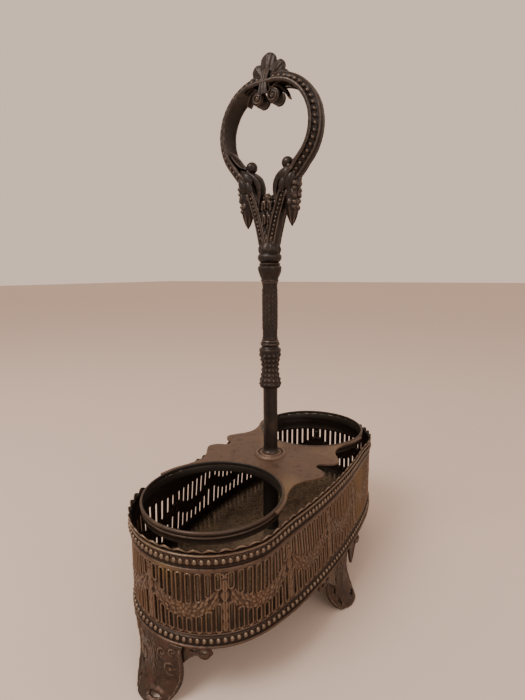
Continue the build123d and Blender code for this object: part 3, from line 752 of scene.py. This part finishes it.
# ---- Rings and bridge ----
COLLAR_PROFILE = (
    (36.02, 86.1), (36.2, 86.0), (36.7, 86.0), (36.85, 86.3), (36.7, 86.8), (36.75, 88.2), (37.05, 88.5),
    (37.2, 88.9), (37.15, 89.4), (36.9, 89.7), (36.5, 89.9), (36.2, 90.2), (36.02, 89.9),
)
ROLLED_PROFILE = (
    (36.05, 90.3), (36.3, 90.22), (36.9, 90.25), (37.2, 90.35), (37.42, 90.7), (37.5, 91.2), (37.46, 91.7),
    (37.3, 92.05), (37.0, 92.28), (36.7, 92.36), (36.4, 92.3), (36.15, 92.1), (36.04, 91.8), (36.02, 91.2),
)


def make_rings():
    for side, name in RING_SIDES:
        for node, suffix, profile, cast in (
            (f"collar_{name}", "band", COLLAR_PROFILE, 0.05),
            (f"rolled_rim_{name}", "bead", ROLLED_PROFILE, 0.04),
        ):
            turned = lathe(profile, 160, (side * RING_CENTRE, 0))
            make(turned, node, suffix, "bridge", "collar_metal", COLLAR_FINISH[side], cast=cast)


BRIDGE_QUARTER = (
    (0.0, 32.5), (2.6, 33.4), (5.5, 39.0), (10.5, 41.6), (16.0, 39.0), (22.0, 34.8), (29.0, 32.8),
    (37.8, 34.2), (47.2, 38.0), (57.0, 39.4),
)


def bridge_outline():
    """The plate's edge: one lobed quarter and one arc round a ring, mirrored both ways."""
    quarter = curve_through(BRIDGE_QUARTER, 9)
    gap = RIM_RADIUS + 0.02
    turn = np.linspace(pi / 2 + 0.0107, pi, 46)
    ring = np.column_stack([RING_CENTRE + gap * np.cos(turn), gap * np.sin(turn)])
    right = np.vstack([quarter, ring, (ring[:-1] * (1, -1))[::-1], (quarter * (1, -1))[:0:-1]])
    return np.vstack([right, (right * (-1, 1))[:0:-1]])


def make_bridge_plate():
    """Flat sheet with rounded edges, cut to the rings and a little uneven from use."""
    turns = np.linspace(0, 2 * pi, 24, endpoint=False)
    bore = [(ROD_HOLE * cos(turn), ROD_HOLE * sin(turn)) for turn in turns]
    plate = bmesh.new()
    edges = []
    for outline in (bridge_outline(), bore):
        ring = [plate.verts.new((x * MM, y * MM, BRIDGE_TOP * MM)) for x, y in outline]
        edges += [(a, b) for a, b in zip(ring, ring[1:] + ring[:1])]
    edges = [plate.edges.new(pair) for pair in edges]
    bmesh.ops.triangle_fill(plate, use_beauty=True, edges=edges)
    for _ in range(3):
        long = [e for e in plate.edges if e.calc_length() > LONGEST_EDGE * MM and not e.is_boundary]
        if long:
            bmesh.ops.subdivide_edges(plate, edges=long, cuts=1, use_grid_fill=False)
            bmesh.ops.triangulate(plate, faces=[f for f in plate.faces if len(f.verts) > 3])
    for face in plate.faces:
        if face.normal.z < 0:
            face.normal_flip()
    plate.normal_update()
    for vertex in plate.verts:
        if not vertex.is_boundary:
            vertex.co.z += 0.10 * MM * noise.noise(vertex.co * 70)
    points = np.array([v.co for v in plate.verts]) / MM
    plate.verts.index_update()
    sheet = Shape().add(points, [[v.index for v in f.verts] for f in plate.faces])
    plate.free()
    made = make(sheet, "bridge_plate", "sheet", "bridge", "plate_metal", sheet=1.0, turn=False)
    edge = made.modifiers.new("edge", "BEVEL")
    edge.width, edge.segments, edge.limit_method, edge.angle_limit = 0.28 * MM, 3, "ANGLE", radians(50)


# ---- Stem ----
FLANGE_PROFILE = (
    (ROD_HOLE, 92.02), (9.75, 92.02), (9.8, 92.35), (9.55, 92.75), (9.2, 93.25), (8.8, 93.5), (8.3, 93.45),
    (8.0, 93.05), (7.7, 92.75), (7.2, 92.75), (6.9, 93.0), (6.6, 93.45), (6.0, 93.75), (5.6, 93.8),
    (ROD_HOLE, 93.8),
)
TUBE_PROFILE = (
    (ROD_HOLE, 93.86), (5.3, 93.86), (5.45, 94.3), (5.2, 94.9), (4.75, 95.3), (4.5, 96.0), (4.42, 97.5),
    *((4.4 + 0.03 * sin(z * 1.7), z) for z in np.linspace(99, 134, 26)), (4.4, 135.98), (ROD_HOLE, 135.98),
)
SLEEVE_CURVE = (
    (6.1, 136.1), (6.65, 137.6), (6.35, 140.0), (5.35, 144.5), (5.1, 148.5), (5.6, 152.5), (6.4, 156.5),
    (6.55, 158.6),
)
SLEEVE_PROFILE = (
    (ROD_HOLE, 136.02), (5.6, 136.02), *curve_through(SLEEVE_CURVE, 14), (6.7, 159.0), (6.6, 159.8),
    (6.0, 160.4), (5.2, 161.0), (5.05, 161.45), (AXIS, 161.45), (AXIS, 151.0), (ROD_HOLE, 151.0),
)
NECK_RING_PROFILE = (
    (AXIS, 161.5), (5.0, 161.5), (5.5, 161.9), (5.85, 162.5), (5.9, 163.2), (5.6, 163.7), (5.2, 163.95),
    (5.3, 164.3), (5.45, 164.7), (5.2, 165.1), (4.8, 165.45), (AXIS, 165.45),
)
SHAFT_PROFILE = (
    (AXIS, 165.5), (4.6, 165.5), (4.75, 166.0), (4.7, 166.8),
    *((4.45, z) for z in np.linspace(167.4, 198.4, 90)),
    (4.7, 199.0), (4.75, 199.6), (4.6, 199.95), (AXIS, 199.95),
)
LOWER_KNOP_PROFILE = (
    (AXIS, 200.0), (4.9, 200.0), (5.2, 200.4), (5.25, 201.0), (5.0, 201.6), (5.2, 202.3),
    *curve_through(((5.5, 202.9), (6.1, 204.6), (6.7, 206.4), (7.0, 208.0)), 5), (6.9, 208.9), (6.3, 209.4),
    (5.9, 209.7), (6.2, 210.1), (6.3, 210.6), (5.9, 211.05), (5.2, 211.25), (AXIS, 211.25),
)
UPPER_KNOP_PROFILE = (
    (AXIS, 211.3), (5.2, 211.3), (5.8, 211.6), (6.6, 212.4), (7.05, 213.4), (7.1, 214.4), (6.9, 215.3),
    (6.3, 215.9), (6.0, 216.3), *curve_through(((6.2, 216.8), (6.5, 218.2), (6.2, 220.0), (5.7, 221.4)), 5),
    (5.5, 222.4), (AXIS, 222.4),
)


def tube_seam(angle, height, radius):
    return -0.10 * ridge((angle - 3.7) * 4.4, 0.16) * (radius > 4) * (height > 96)


def sleeve_ribs(angle, height, radius):
    bands = np.cos(height * 2 * pi / 3.0)
    ribs = 0.30 * np.cos(14 * angle) * (0.6 + 0.4 * bands) + 0.18 * bands
    return ribs * smoothstep(137.2, 138.6, height) * smoothstep(158.4, 157.2, height) * (radius > 4)


def engraving(angle, height, radius):
    """Six upright panels, each an incised frame round a raised stalk, with leaves on some of them."""
    panel = (angle * 3 / pi + 0.35) % 1.0 - 0.5
    across = panel * pi / 3 * radius
    ends = smoothstep(168.6, 169.8, height) * smoothstep(197.2, 196.0, height)
    frame_line = -0.20 * ridge(np.abs(across) - 1.9, 0.22) * ends
    stalk = 0.26 * ridge(across, 0.36) * smoothstep(171, 172, height) * smoothstep(194, 193, height)
    tip = 0.28 * ridge(np.hypot(across, (height - 195) * 0.8), 0.7)
    step = (height - 171.0) / 2.6
    lean = np.abs(across) - 0.5 - 0.9 * (step - np.floor(step))
    leafy = ((angle > 3.0) & (angle < 6.0)) | (angle < 1.0)
    leaves = 0.26 * ridge(lean, 0.34) * (np.abs(across) < 1.8) * smoothstep(174, 175.5, height)
    leaves = leaves * smoothstep(193.5, 192, height) * leafy
    return (frame_line + np.maximum(stalk, leaves) + tip) * (radius > 4)


def knop_leaves(low, high, count, lift):
    """A wave of leaves that stand round a knop between two heights."""
    def wave(angle, height, radius):
        swell = np.sin(pi * np.clip((height - low) / (high - low), 0, 1))
        return lift * (np.abs(np.cos(count * angle / 2)) ** 0.7 - 0.6) * swell * (radius > 4)

    return wave


def make_handle_piece(shape, node, suffix, cast):
    make(shape, node, suffix, "handle", "handle_metal", cast=cast)


def make_stem():
    make(lathe(FLANGE_PROFILE, 96), "stem_flange", "turned", "bridge", "plate_metal", cast=0.05)
    for node, suffix, profile, segments, wave, cast in (
        ("stem_tube", "turned", TUBE_PROFILE, 84, tube_seam, 0.07),
        ("ribbed_sleeve", "cast", SLEEVE_PROFILE, 168, sleeve_ribs, 0.10),
        ("neck_ring", "turned", NECK_RING_PROFILE, 84, None, 0.08),
        ("engraved_shaft", "cast", SHAFT_PROFILE, 150, engraving, 0.09),
        ("lower_knop", "cast", LOWER_KNOP_PROFILE, 120, knop_leaves(202.5, 208.8, 8, 0.5), 0.14),
        ("upper_knop", "cast", UPPER_KNOP_PROFILE, 120, knop_leaves(216.2, 223.0, 6, 0.8), 0.16),
    ):
        make_handle_piece(lathe(profile, segments, wave=wave), node, suffix, cast)


# ---- Fork, loop and their ornaments ----
def band_section(inner_half, inner_corner, outer_half, outer_corner, inner_face, channel=1.0):
    """The handle band's section, as (x, outward).

    It is hollow inside, with a bead channel on each bevel and a ridge outside."""
    right = [
        (inner_half * half, inner_face + out)
        for half, out in ((0.0, 0.95), (0.45, 0.85), (0.74, 0.6), (0.82, 0.05), (0.90, 0.0), (0.97, 0.3))
    ]
    start, end = np.array((inner_half, inner_corner)), np.array((outer_half, outer_corner))
    length = np.linalg.norm(end - start)
    along = (end - start) / length
    out = np.array((along[1], -along[0]))
    right += [
        tuple(start + along * share * length + out * height * channel)
        for share, height in (
            (0.0, 0.0), (0.07, 0.32), (0.15, 0.34), (0.22, -0.30), (0.30, -0.80), (0.50, -0.95),
            (0.70, -0.80), (0.78, -0.30), (0.85, 0.24), (0.93, 0.22), (0.98, -0.1),
        )
    ]
    right += [
        (outer_half * 0.72, outer_corner - 0.25), (outer_half * 0.5, outer_corner),
        (0.0, outer_corner + 0.05),
    ]
    return np.array(right + [(-x, y) for x, y in right[1:-1]][::-1])


LOOP_SECTION = (6.5, -1.9, 2.2, 2.9, -3.0)
ARM_SECTION = (5.0, -2.1, 3.7, 2.5, -2.8)


def loop_path():
    """The loop's middle line, from its +Y foot over the top to its -Y foot."""
    turn = np.linspace(LOOP_FOOT_ANGLE, pi / 2, 76)
    arc = np.column_stack([
        LOOP_CENTRE[0] + LOOP_RADIUS * np.cos(turn), LOOP_CENTRE[1] + LOOP_RADIUS * np.sin(turn),
    ])
    down = np.array((sin(LOOP_FOOT_ANGLE), -cos(LOOP_FOOT_ANGLE)))
    foot = arc[0] + down * np.linspace(LOOP_FOOT_LENGTH, 0.8, 12)[:, None]
    half = np.vstack([foot, arc])
    middle = np.array([(y, half[-1][1]) for y in (3.1, 1.5, 0.0, -1.5, -3.1)])
    return np.vstack([half, middle, (half * (-1, 1))[::-1]])


ARM_PATH = (
    (3.0, 221.5), (3.6, 225.0), (5.0, 231.0), (6.6, 237.0), (8.2, 242.0), (9.9, 247.0), (12.3, 252.2),
    (15.2, 256.4), (18.41, 259.62),
)


def along_path(path, pitch, start, end):
    """(point, direction, share) at even steps along a path, leaving out its ends."""
    path = np.asarray(path, float)
    steps = np.linalg.norm(np.diff(path, axis=0), axis=1)
    reach = np.concatenate([[0], np.cumsum(steps)])
    places = []
    for at in np.arange(start, reach[-1] - end, pitch):
        k = min(int(np.searchsorted(reach, at, side="right")) - 1, len(path) - 2)
        ahead = path[k + 1] - path[k]
        inside = (at - reach[k]) / steps[k]
        places.append((path[k] + ahead * inside, ahead / steps[k], at / reach[-1]))
    return places


def add_beads(shape, path, sections, pitch, start, end, radius, skip=None):
    """Beads lying in both bead channels; sections(share) gives the band's section numbers."""
    for (y, z), (dy, dz), share in along_path(path, pitch, start, end):
        if skip and skip(y, z):
            continue
        inner_half, inner_corner, outer_half, outer_corner, _ = sections(share)
        x, n = (inner_half + outer_half) / 2, (inner_corner + outer_corner) / 2
        bevel = np.array((outer_half - inner_half, outer_corner - inner_corner))
        bevel /= np.linalg.norm(bevel)
        x, n = x - BEAD_SUNK * bevel[1], n + BEAD_SUNK * bevel[0]
        for side in (-1, 1):
            shape.ball((side * x, y + n * dz, z - n * dy), (radius, radius, radius), 10, 8)


def under_shell(y, z):
    """Where the shell on top hides the beads."""
    return abs(y) < 3.2 and z > 300


def make_loop():
    path = loop_path()
    loop = sweep(path, lambda share: band_section(*LOOP_SECTION))
    add_beads(loop, path, lambda share: LOOP_SECTION, 3.42, 1.5, 1.0, 0.95, under_shell)
    make_handle_piece(loop, "handle_loop", "band", 0.10)


def arm_sections(share):
    """The arm's section numbers, which turn into the loop's at its upper end."""
    share = float(smoothstep(0.62, 1.0, share))
    return tuple(a + (b - a) * share for a, b in zip(ARM_SECTION, LOOP_SECTION))


ARM_CURL = ((12.6, 261.4), (9.6, 259.6), (7.0, 257.0), (5.6, 253.4), (5.3, 249.6), (5.6, 245.6), (6.0, 241.0))
ARM_LEAF = ((25.2, 274.6), (23.4, 271.6), (20.8, 268.4), (17.4, 265.6), (14.4, 264.2))
WEB_BOTTOM, WEB_TOP = 221.8, 245.5
WEB_SCROLLS = ((239.0, 246.0, 2.3), (230.5, 238.5, 2.0))  # bottom, top and reach
ROSETTE_OUT, PETALS_OUT = 2.4, 1.75
# Leaves that wrap the arm under the ball: place in Y and Z, half sizes in Y and Z, and tilt.
WRAP_LEAVES = ((12.6, 258.4, 3.4, 4.6, -38), (15.4, 255.2, 3.0, 5.2, -22), (11.2, 253.6, 2.6, 5.0, -18))


def curl_section(share):
    return oval(4.7 - 1.6 * share, 1.0 + 1.5 * sin(pi * min(1.0, share * 1.1 + 0.12)) ** 0.8, 22, 5, 0.05)


def leaf_section(share):
    return oval(4.2 - share, 0.4 + 1.7 * sin(pi * min(1, share + 0.05)), 18, 4, 0.06)


def make_fork():
    path = curve_through(ARM_PATH, 9)
    arm = sweep(path, lambda share: band_section(*arm_sections(share), channel=0.85))
    add_beads(arm, path, arm_sections, 2.35, 3.5, 0.5, 0.7)
    # A leaf curls inward under each ball, and one lies on the inner side above it.
    arm.join(sweep(curve_through(ARM_CURL, 8), curl_section))
    arm.join(sweep(curve_through(ARM_LEAF, 7), leaf_section))
    for face in (-1, 1):
        for y, z, half_y, half_z, tilt in WRAP_LEAVES:
            lay = radians(tilt)
            axes = ((1, 0, 0), (0, cos(lay), sin(lay)), (0, -sin(lay), cos(lay)))
            arm.ball((face * 3.6, y, z), (2.6, half_y, half_z), 22, 14, axes)
    arm.mirrored()
    # Between the arms: a web with a rosette and scrolls.
    level = np.linspace(WEB_BOTTOM, WEB_TOP, 40)[:, None]
    half = np.interp(level, (222, 226, 237, 245.5), (4.6, 3.9, 3.6, 3.4))
    across = np.linspace(-1, 1, 21)[None, :] * half
    deep = 2.2 + 1.5 * smoothstep(236, 224, level) + 0.7 * np.cos(across * 2.2) * np.cos((level - 224) * 0.9)
    for face in (-1, 1):
        arm.grid(np.stack([face * deep + 0 * across, across, level + 0 * across], axis=-1))
    turn = np.linspace(-0.2 * pi, 1.35 * pi, 22)
    shrink = np.linspace(1, 0.35, 22)
    for side in (-1, 1):
        for low, high, reach in WEB_SCROLLS:
            y = side * (0.4 + reach * 0.55 + reach * 0.55 * np.cos(turn) * shrink)
            z = (low + high) / 2 + (high - low) / 2 * np.sin(turn) * shrink
            for face in (-3.3, 3.3):
                arm.join(sweep(np.column_stack([y, z]), lambda share: oval(0.8, 0.75, 8)), (face, 0, 0))
    for face in (-ROSETTE_OUT, ROSETTE_OUT):
        arm.ball((face, 0, ROSETTE_HEIGHT), (1.5, 1.9, 1.9), 14, 10)
        for petal in range(6):
            turn = petal * pi / 3
            at = (face, PETALS_OUT * cos(turn), ROSETTE_HEIGHT + PETALS_OUT * sin(turn))
            arm.ball(at, (1.2, 0.95, 0.95), 8, 6)
    make_handle_piece(arm, "fork", "cast", 0.14)


# Each arm carries a ball, with a smaller one under it: place in Y and Z, and half sizes.
BALL_Y, BALL_Z, BALL_SIZE = 11.9, 265.2, (3.3, 3.3, 3.3)
UNDER_BALL_Y, UNDER_BALL_Z, UNDER_BALL_SIZE = 13.4, 262.9, (2.9, 2.2, 2.2)


def make_balls():
    for side, name in SIDES:
        ball = Shape().ball((0, side * BALL_Y, BALL_Z), BALL_SIZE, 32, 22)
        ball.ball((0, side * UNDER_BALL_Y, UNDER_BALL_Z), UNDER_BALL_SIZE, 20, 12)
        make_handle_piece(ball, f"volute_ball_{name}", "cast", 0.10)


DROP_CORE = ((1.0, 258.3), (3.4, 257.2), (4.4, 253.5), (4.3, 248.0), (3.7, 242.5), (2.7, 237.2), (0.5, 231.4))
# Rings of leaves on a drop: height, distance from its axis, number, half height and half width.
DROP_LEAVES = ((254.6, 3.6, 6, 3.6, 2.1), (249.6, 3.7, 6, 3.4, 2.0), (244.6, 3.1, 5, 3.1, 1.8))


def drop_veins(angle, height, radius):
    return 0.34 * np.cos(6 * angle) * smoothstep(247, 241, height) * (radius > 1)


def make_drops():
    """A hanging spray on the outside of each arm: overlapping leaves and fruit above a pointed leaf."""
    core = curve_through(DROP_CORE, 6)
    core = np.vstack([(AXIS, core[0][1]), core, (AXIS, 231.0)])
    upright = np.array((0, 0, 1))
    for side, name in SIDES:
        random = np.random.default_rng(SEED)
        spray = lathe(core, 44, (0, side * DROP_AT), wave=drop_veins)
        for level, girth, count, tall, wide in DROP_LEAVES:
            for k in range(count):
                turn = 2 * pi * (k + 0.5 * (level < 250)) / count + random.uniform(-0.2, 0.2)
                droop = radians(random.uniform(12, 30))
                out = np.array((cos(turn), side * sin(turn), 0))
                along = upright * cos(droop) - out * sin(droop)
                axes = (np.cross(along, out), out * cos(droop) + upright * sin(droop), along)
                at = out * girth + (0, side * DROP_AT, level + random.uniform(-0.7, 0.7))
                spray.ball(at, (wide, 1.25, tall), 14, 10, axes)
        for level in np.arange(256.4, 240.5, -3.1):
            girth = np.interp(level, (240, 246, 254, 257), (3.1, 4.4, 4.8, 3.6))
            for turn in (0.25 * pi, 0.5 * pi, 0.75 * pi):
                size = random.uniform(1.15, 1.6)
                jitter = random.uniform(-0.5, 0.5)
                out = girth * 0.95 * sin(turn)
                at = (girth * cos(turn + 0.3 * jitter), side * (DROP_AT + out), level + jitter)
                spray.ball(at, (size, size, size), 12, 9)
        make_handle_piece(spray, f"grape_drop_{name}", "cast", 0.12)


# Lobes of the shell: angle from upright, length and half width in radians.
SHELL_LOBES = (
    (0, 16.8, 0.36), (0.68, 14.4, 0.30), (-0.68, 14.4, 0.30), (1.28, 13.6, 0.32), (-1.28, 13.6, 0.32),
    (1.78, 9.8, 0.26), (-1.78, 9.8, 0.26),
)
SHELL_SPREAD, SHELL_HEART, SHELL_WAIST, SHELL_REACH = radians(112), 2.0, 7.5, 17.2
STALK_TOP, STALK_LENGTH = 314.0, 13.8


def make_shell():
    """The shell on top: fluted lobes that spread from a stalk over the loop's front and back."""
    angle = np.linspace(-SHELL_SPREAD, SHELL_SPREAD, 91)[:, None]
    reach = np.full(angle.shape, SHELL_WAIST)
    for centre, length, width in SHELL_LOBES:
        aside = (angle - centre) / (width * 1.25)
        lobe = length * np.sqrt(np.clip(1 - aside**2, 0, 1)) ** 0.35
        reach = np.maximum(reach, np.where(np.abs(aside) < 1, lobe, 0))
    share = np.linspace(0, 1, 18)[None, :]
    far = SHELL_HEART + (np.minimum(reach, SHELL_REACH) - SHELL_HEART) * share
    y, z = far * np.sin(angle), SHELL_BASE + far * np.cos(angle)
    flute = 0.45 * np.cos(angle * 2 * pi / 0.6) * smoothstep(0.1, 0.6, share)
    fine = 0.16 * np.cos(angle * 2 * pi / 0.15) * smoothstep(0.3, 0.8, share)
    thick = 3.0 - 1.1 * share + flute + fine
    thick = thick * np.sqrt(np.clip(1 - (share * 0.985) ** 6, 0.02, 1))
    front, back = np.stack([-thick, y, z], axis=-1), np.stack([thick, y, z], axis=-1)
    shell = Shape().grid(front).grid(back)
    for edge in ((slice(None), -1), 0, -1):
        shell.grid(np.stack([front[edge], back[edge]], axis=1))
    # The stalk widens as it runs down over both bevels of the loop.
    level = np.linspace(0, 1, 22)[:, None]
    u = np.linspace(-1, 1, 13)[None, :]
    x = 2.4 + 4.2 * np.sin(level * pi * 0.5) ** 0.9
    x = x + 0.9 * np.sqrt(np.clip(1 - u**2, 0, 1)) + 0.2 * np.cos(u * 7)
    half = 2.6 - 0.9 * np.sin(level * pi) + 0.8 * level
    for face in (-1, 1):
        shell.grid(np.stack([face * x, u * half, STALK_TOP - STALK_LENGTH * level + 0 * u], axis=-1))
    make_handle_piece(shell, "shell_finial", "cast", 0.14)


ROLL_AT, ROLL_HEIGHT, ROLL_POINTS = 5.0, 299.7, 40
# The roll's outline, as (x, radius).
ROLL_PROFILE = (
    (-4.4, 3.0), (-4.2, 3.5), (-3.6, 3.75), (-3.3, 3.35), (-2.6, 3.6), (0.0, 3.8),
    (2.6, 3.6), (3.3, 3.35), (3.6, 3.75), (4.2, 3.5), (4.4, 3.0),
)
SPUR_CURVE = ((6.0, 304.6), (9.0, 303.2), (11.6, 300.6), (13.2, 297.7))
CROWN_LEAF = ((4.6, 303.5), (6.8, 305.2), (9.8, 305.4), (14.0, 303.6))


def roll_circle(side, x, radius):
    """Points round a roll's own axis, at one x."""
    turn = np.linspace(0, 2 * pi, ROLL_POINTS, endpoint=False)
    y, z = side * ROLL_AT + radius * np.cos(turn), ROLL_HEIGHT + radius * np.sin(turn)
    return np.column_stack([np.full(ROLL_POINTS, x), y, z])


def make_crown_scrolls():
    """Two rolls under the top of the loop, each with curled ends, a spur and a leaf."""
    curl_turn = np.linspace(0, 3.4 * pi, 46)
    curl_radius = 3.3 - 2.9 * curl_turn / curl_turn[-1]
    for side, name in SIDES:
        rings = np.array([roll_circle(side, x, radius) for x, radius in ROLL_PROFILE])
        roll = Shape().grid(rings, wrap_columns=True)
        y = side * (ROLL_AT + curl_radius * np.cos(curl_turn + 2.0))
        curl = np.column_stack([y, ROLL_HEIGHT + curl_radius * np.sin(curl_turn + 2.0)])
        for x in (-4.4, 4.4):
            roll.join(sweep(curl, lambda share: oval(0.55, 0.42, 8)), (x, 0, 0))
            roll.ball((x, side * ROLL_AT, ROLL_HEIGHT), (0.75, 1.0, 1.0), 12, 8)
            roll.add(roll_circle(side, x - 0.05 * np.sign(x), 3.0), [list(range(ROLL_POINTS))])
        spur = curve_through(SPUR_CURVE, 8) * (side, 1)
        leaf = curve_through(CROWN_LEAF, 7) * (side, 1)
        roll.join(sweep(spur, lambda share: oval(4.0 - 1.6 * share, 1.9 - 1.4 * share, 16, 4, 0.07)))
        roll.join(sweep(leaf, lambda share: oval(4.6 - 1.5 * share, 1.5 - share, 16, 4, 0.06)))
        make_handle_piece(roll, f"crown_scroll_{name}", "cast", 0.10)


# ---- Pillar, tie rod, washer and nut ----
THREAD_PITCH = 0.8
NUT_FLATS = 4.0
PILLAR_PROFILE = (
    (3.4, 42.02), (5.2, 42.02), (5.2, 43.2), (4.95, 43.8), (4.9, 45.0),
    *((4.9, z) for z in np.linspace(48, 86, 12)),
    (4.9, 88.6), (5.0, 89.6), (5.2, 90.0), (5.2, 90.98), (3.4, 90.98),
)
ROD_PROFILE = (
    (AXIS, 33.0), (2.1, 33.0), (2.5, 33.4), *((2.5, z) for z in np.arange(33.6, 48.0, 0.2)),
    *((2.5, z) for z in np.linspace(49, 137, 12)), *((2.5, z) for z in np.arange(138.0, 149.5, 0.2)),
    (2.5, 149.6), (2.1, 150.0), (AXIS, 150.0),
)
WASHER_PROFILE = (
    (2.6, 40.1), (2.7, 40.02), (6.3, 40.02), (6.5, 40.2), (6.5, 40.8), (6.3, 40.98), (2.7, 40.98),
    (2.6, 40.9),
)
NUT_PROFILE = (
    (2.6, 36.0), (3.4, 36.02), (4.0, 36.1), *((4.0, z) for z in np.linspace(36.25, 39.75, 12)),
    (4.0, 39.9), (3.4, 39.96), (2.6, 39.98),
)


def thread(angle, height, radius):
    """A screw thread cut into both ends of the rod."""
    threaded = (height < 48) | (height > 138)
    saw = np.abs((height / THREAD_PITCH + angle / (2 * pi)) % 1.0 - 0.5) * 2
    return -0.32 * saw * threaded * (radius > 2)


def hexagon(angle, height, radius):
    """Six flats with chamfered corners."""
    corner = NUT_FLATS / np.cos((angle + pi / 6) % (pi / 3) - pi / 6)
    limit = 4.35 + 0.9 * np.minimum(height - 36.0, 40.0 - height)
    return np.where(radius > 3.5, np.minimum(corner, limit) - radius, 0)


def make_hardware():
    make(lathe(PILLAR_PROFILE, 60), "pillar", "tube", "stand", "dark_metal", cast=0.05)
    make(lathe(ROD_PROFILE, 32, wave=thread), "tie_rod", "threaded", "rod", "hardware_metal")
    make(lathe(WASHER_PROFILE, 60), "base_washer", "plain", "washer", "hardware_metal", cast=0.03)
    make(lathe(NUT_PROFILE, 96, wave=hexagon), "base_nut", "hex", "nut", "hardware_metal", sharp=25)


# ---- Room: floor, light and camera ----
TABLE_HALF, TABLE_COLOUR = 8.0, (0.66, 0.56, 0.50)
WORLD_COLOUR, WORLD_STRENGTH = (0.82, 0.615, 0.485), 1.12
# Name, place in metres, size, watts and colour.
LAMPS = (
    ("key", (-0.75, 0.25, 1.05), 0.55, 11.0, (1.0, 0.93, 0.86)),
    ("fill", (-0.5, -1.0, 0.6), 0.9, 4.0, (1.0, 0.92, 0.86)),
)


def table_material():
    material = bpy.data.materials.new("table_top")
    material.use_nodes = True
    tree = material.node_tree
    shader = tree.nodes["Principled BSDF"]
    shader.inputs["Roughness"].default_value = 0.85
    shader.inputs["Specular IOR Level"].default_value = 0.2
    clouds = tree.nodes.new("ShaderNodeTexNoise")
    clouds.inputs["Scale"].default_value = 6.0
    tint = tree.nodes.new("ShaderNodeMix")
    tint.data_type = "RGBA"
    tint.inputs[6].default_value = (*TABLE_COLOUR, 1)
    tint.inputs[7].default_value = (*(c * 0.94 for c in TABLE_COLOUR), 1)
    tree.links.new(clouds.outputs["Fac"], tint.inputs[0])
    tree.links.new(tint.outputs[2], shader.inputs["Base Color"])
    return material


def make_room():
    mesh = bpy.data.meshes.new("floor")
    corners = [(x * TABLE_HALF, y * TABLE_HALF, 0) for x, y in ((-1, -1), (1, -1), (1, 1), (-1, 1))]
    mesh.from_pydata(corners, [], [(0, 1, 2, 3)])
    floor = bpy.data.objects.new("floor", mesh)
    bpy.context.scene.collection.objects.link(floor)
    mesh.materials.append(table_material())

    world = bpy.data.worlds.new("studio")
    bpy.context.scene.world = world
    world.use_nodes = True
    background = world.node_tree.nodes["Background"]
    background.inputs["Color"].default_value = (*WORLD_COLOUR, 1)
    background.inputs["Strength"].default_value = WORLD_STRENGTH

    for name, place, size, watts, colour in LAMPS:
        data = bpy.data.lights.new(name, "AREA")
        data.energy, data.size, data.color = watts, size, colour
        lamp = bpy.data.objects.new(name, data)
        lamp.location = place
        lamp.rotation_euler = (Vector((0, 0, 0.1)) - lamp.location).to_track_quat("-Z", "Y").to_euler()
        bpy.context.scene.collection.objects.link(lamp)


CAMERA_PLACE = (-0.22006, -0.13690, 0.19544)
CAMERA_HEADING, CAMERA_TILT, CAMERA_ROLL = radians(57.085), radians(-10.155), radians(-0.44)
CAMERA_LENS, CAMERA_SENSOR = 22.198, 36.0


def make_camera():
    """The photograph's viewpoint: above the near end, looking along and slightly down."""
    data = bpy.data.cameras.new("camera")
    data.lens, data.sensor_width = CAMERA_LENS, CAMERA_SENSOR
    data.clip_start, data.clip_end = 0.01, 50.0
    camera = bpy.data.objects.new("camera", data)
    turn = Matrix.Rotation(-CAMERA_HEADING, 4, "Z") @ Matrix.Rotation(pi / 2 + CAMERA_TILT, 4, "X")
    turn = turn @ Matrix.Rotation(CAMERA_ROLL, 4, "Z")
    camera.matrix_world = Matrix.Translation(Vector(CAMERA_PLACE)) @ turn
    bpy.context.scene.collection.objects.link(camera)
    bpy.context.scene.camera = camera


make_room()
make_camera()
make_gallery()
make_border("upper_moulding", UPPER_PROFILE, UPPER_BEADS, -1.0, (0.95, 1.06, 1.36))
make_border("lower_moulding", LOWER_PROFILE, LOWER_BEADS, -1.15, (0.95, 1.06, 1.3))
make_crest()
for foot_name, foot_distance in FEET:
    make_foot(foot_name, foot_distance)
make_rings()
make_bridge_plate()
make_stem()
make_loop()
make_fork()
make_balls()
make_drops()
make_shell()
make_crown_scrolls()
make_hardware()

# The floor plate is plain, so the CAD's own piece is shown.
floor_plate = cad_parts["floor_plate"]
floor_plate.data.materials.clear()
floor_plate.data.materials.append(FINISH["floor_metal"])
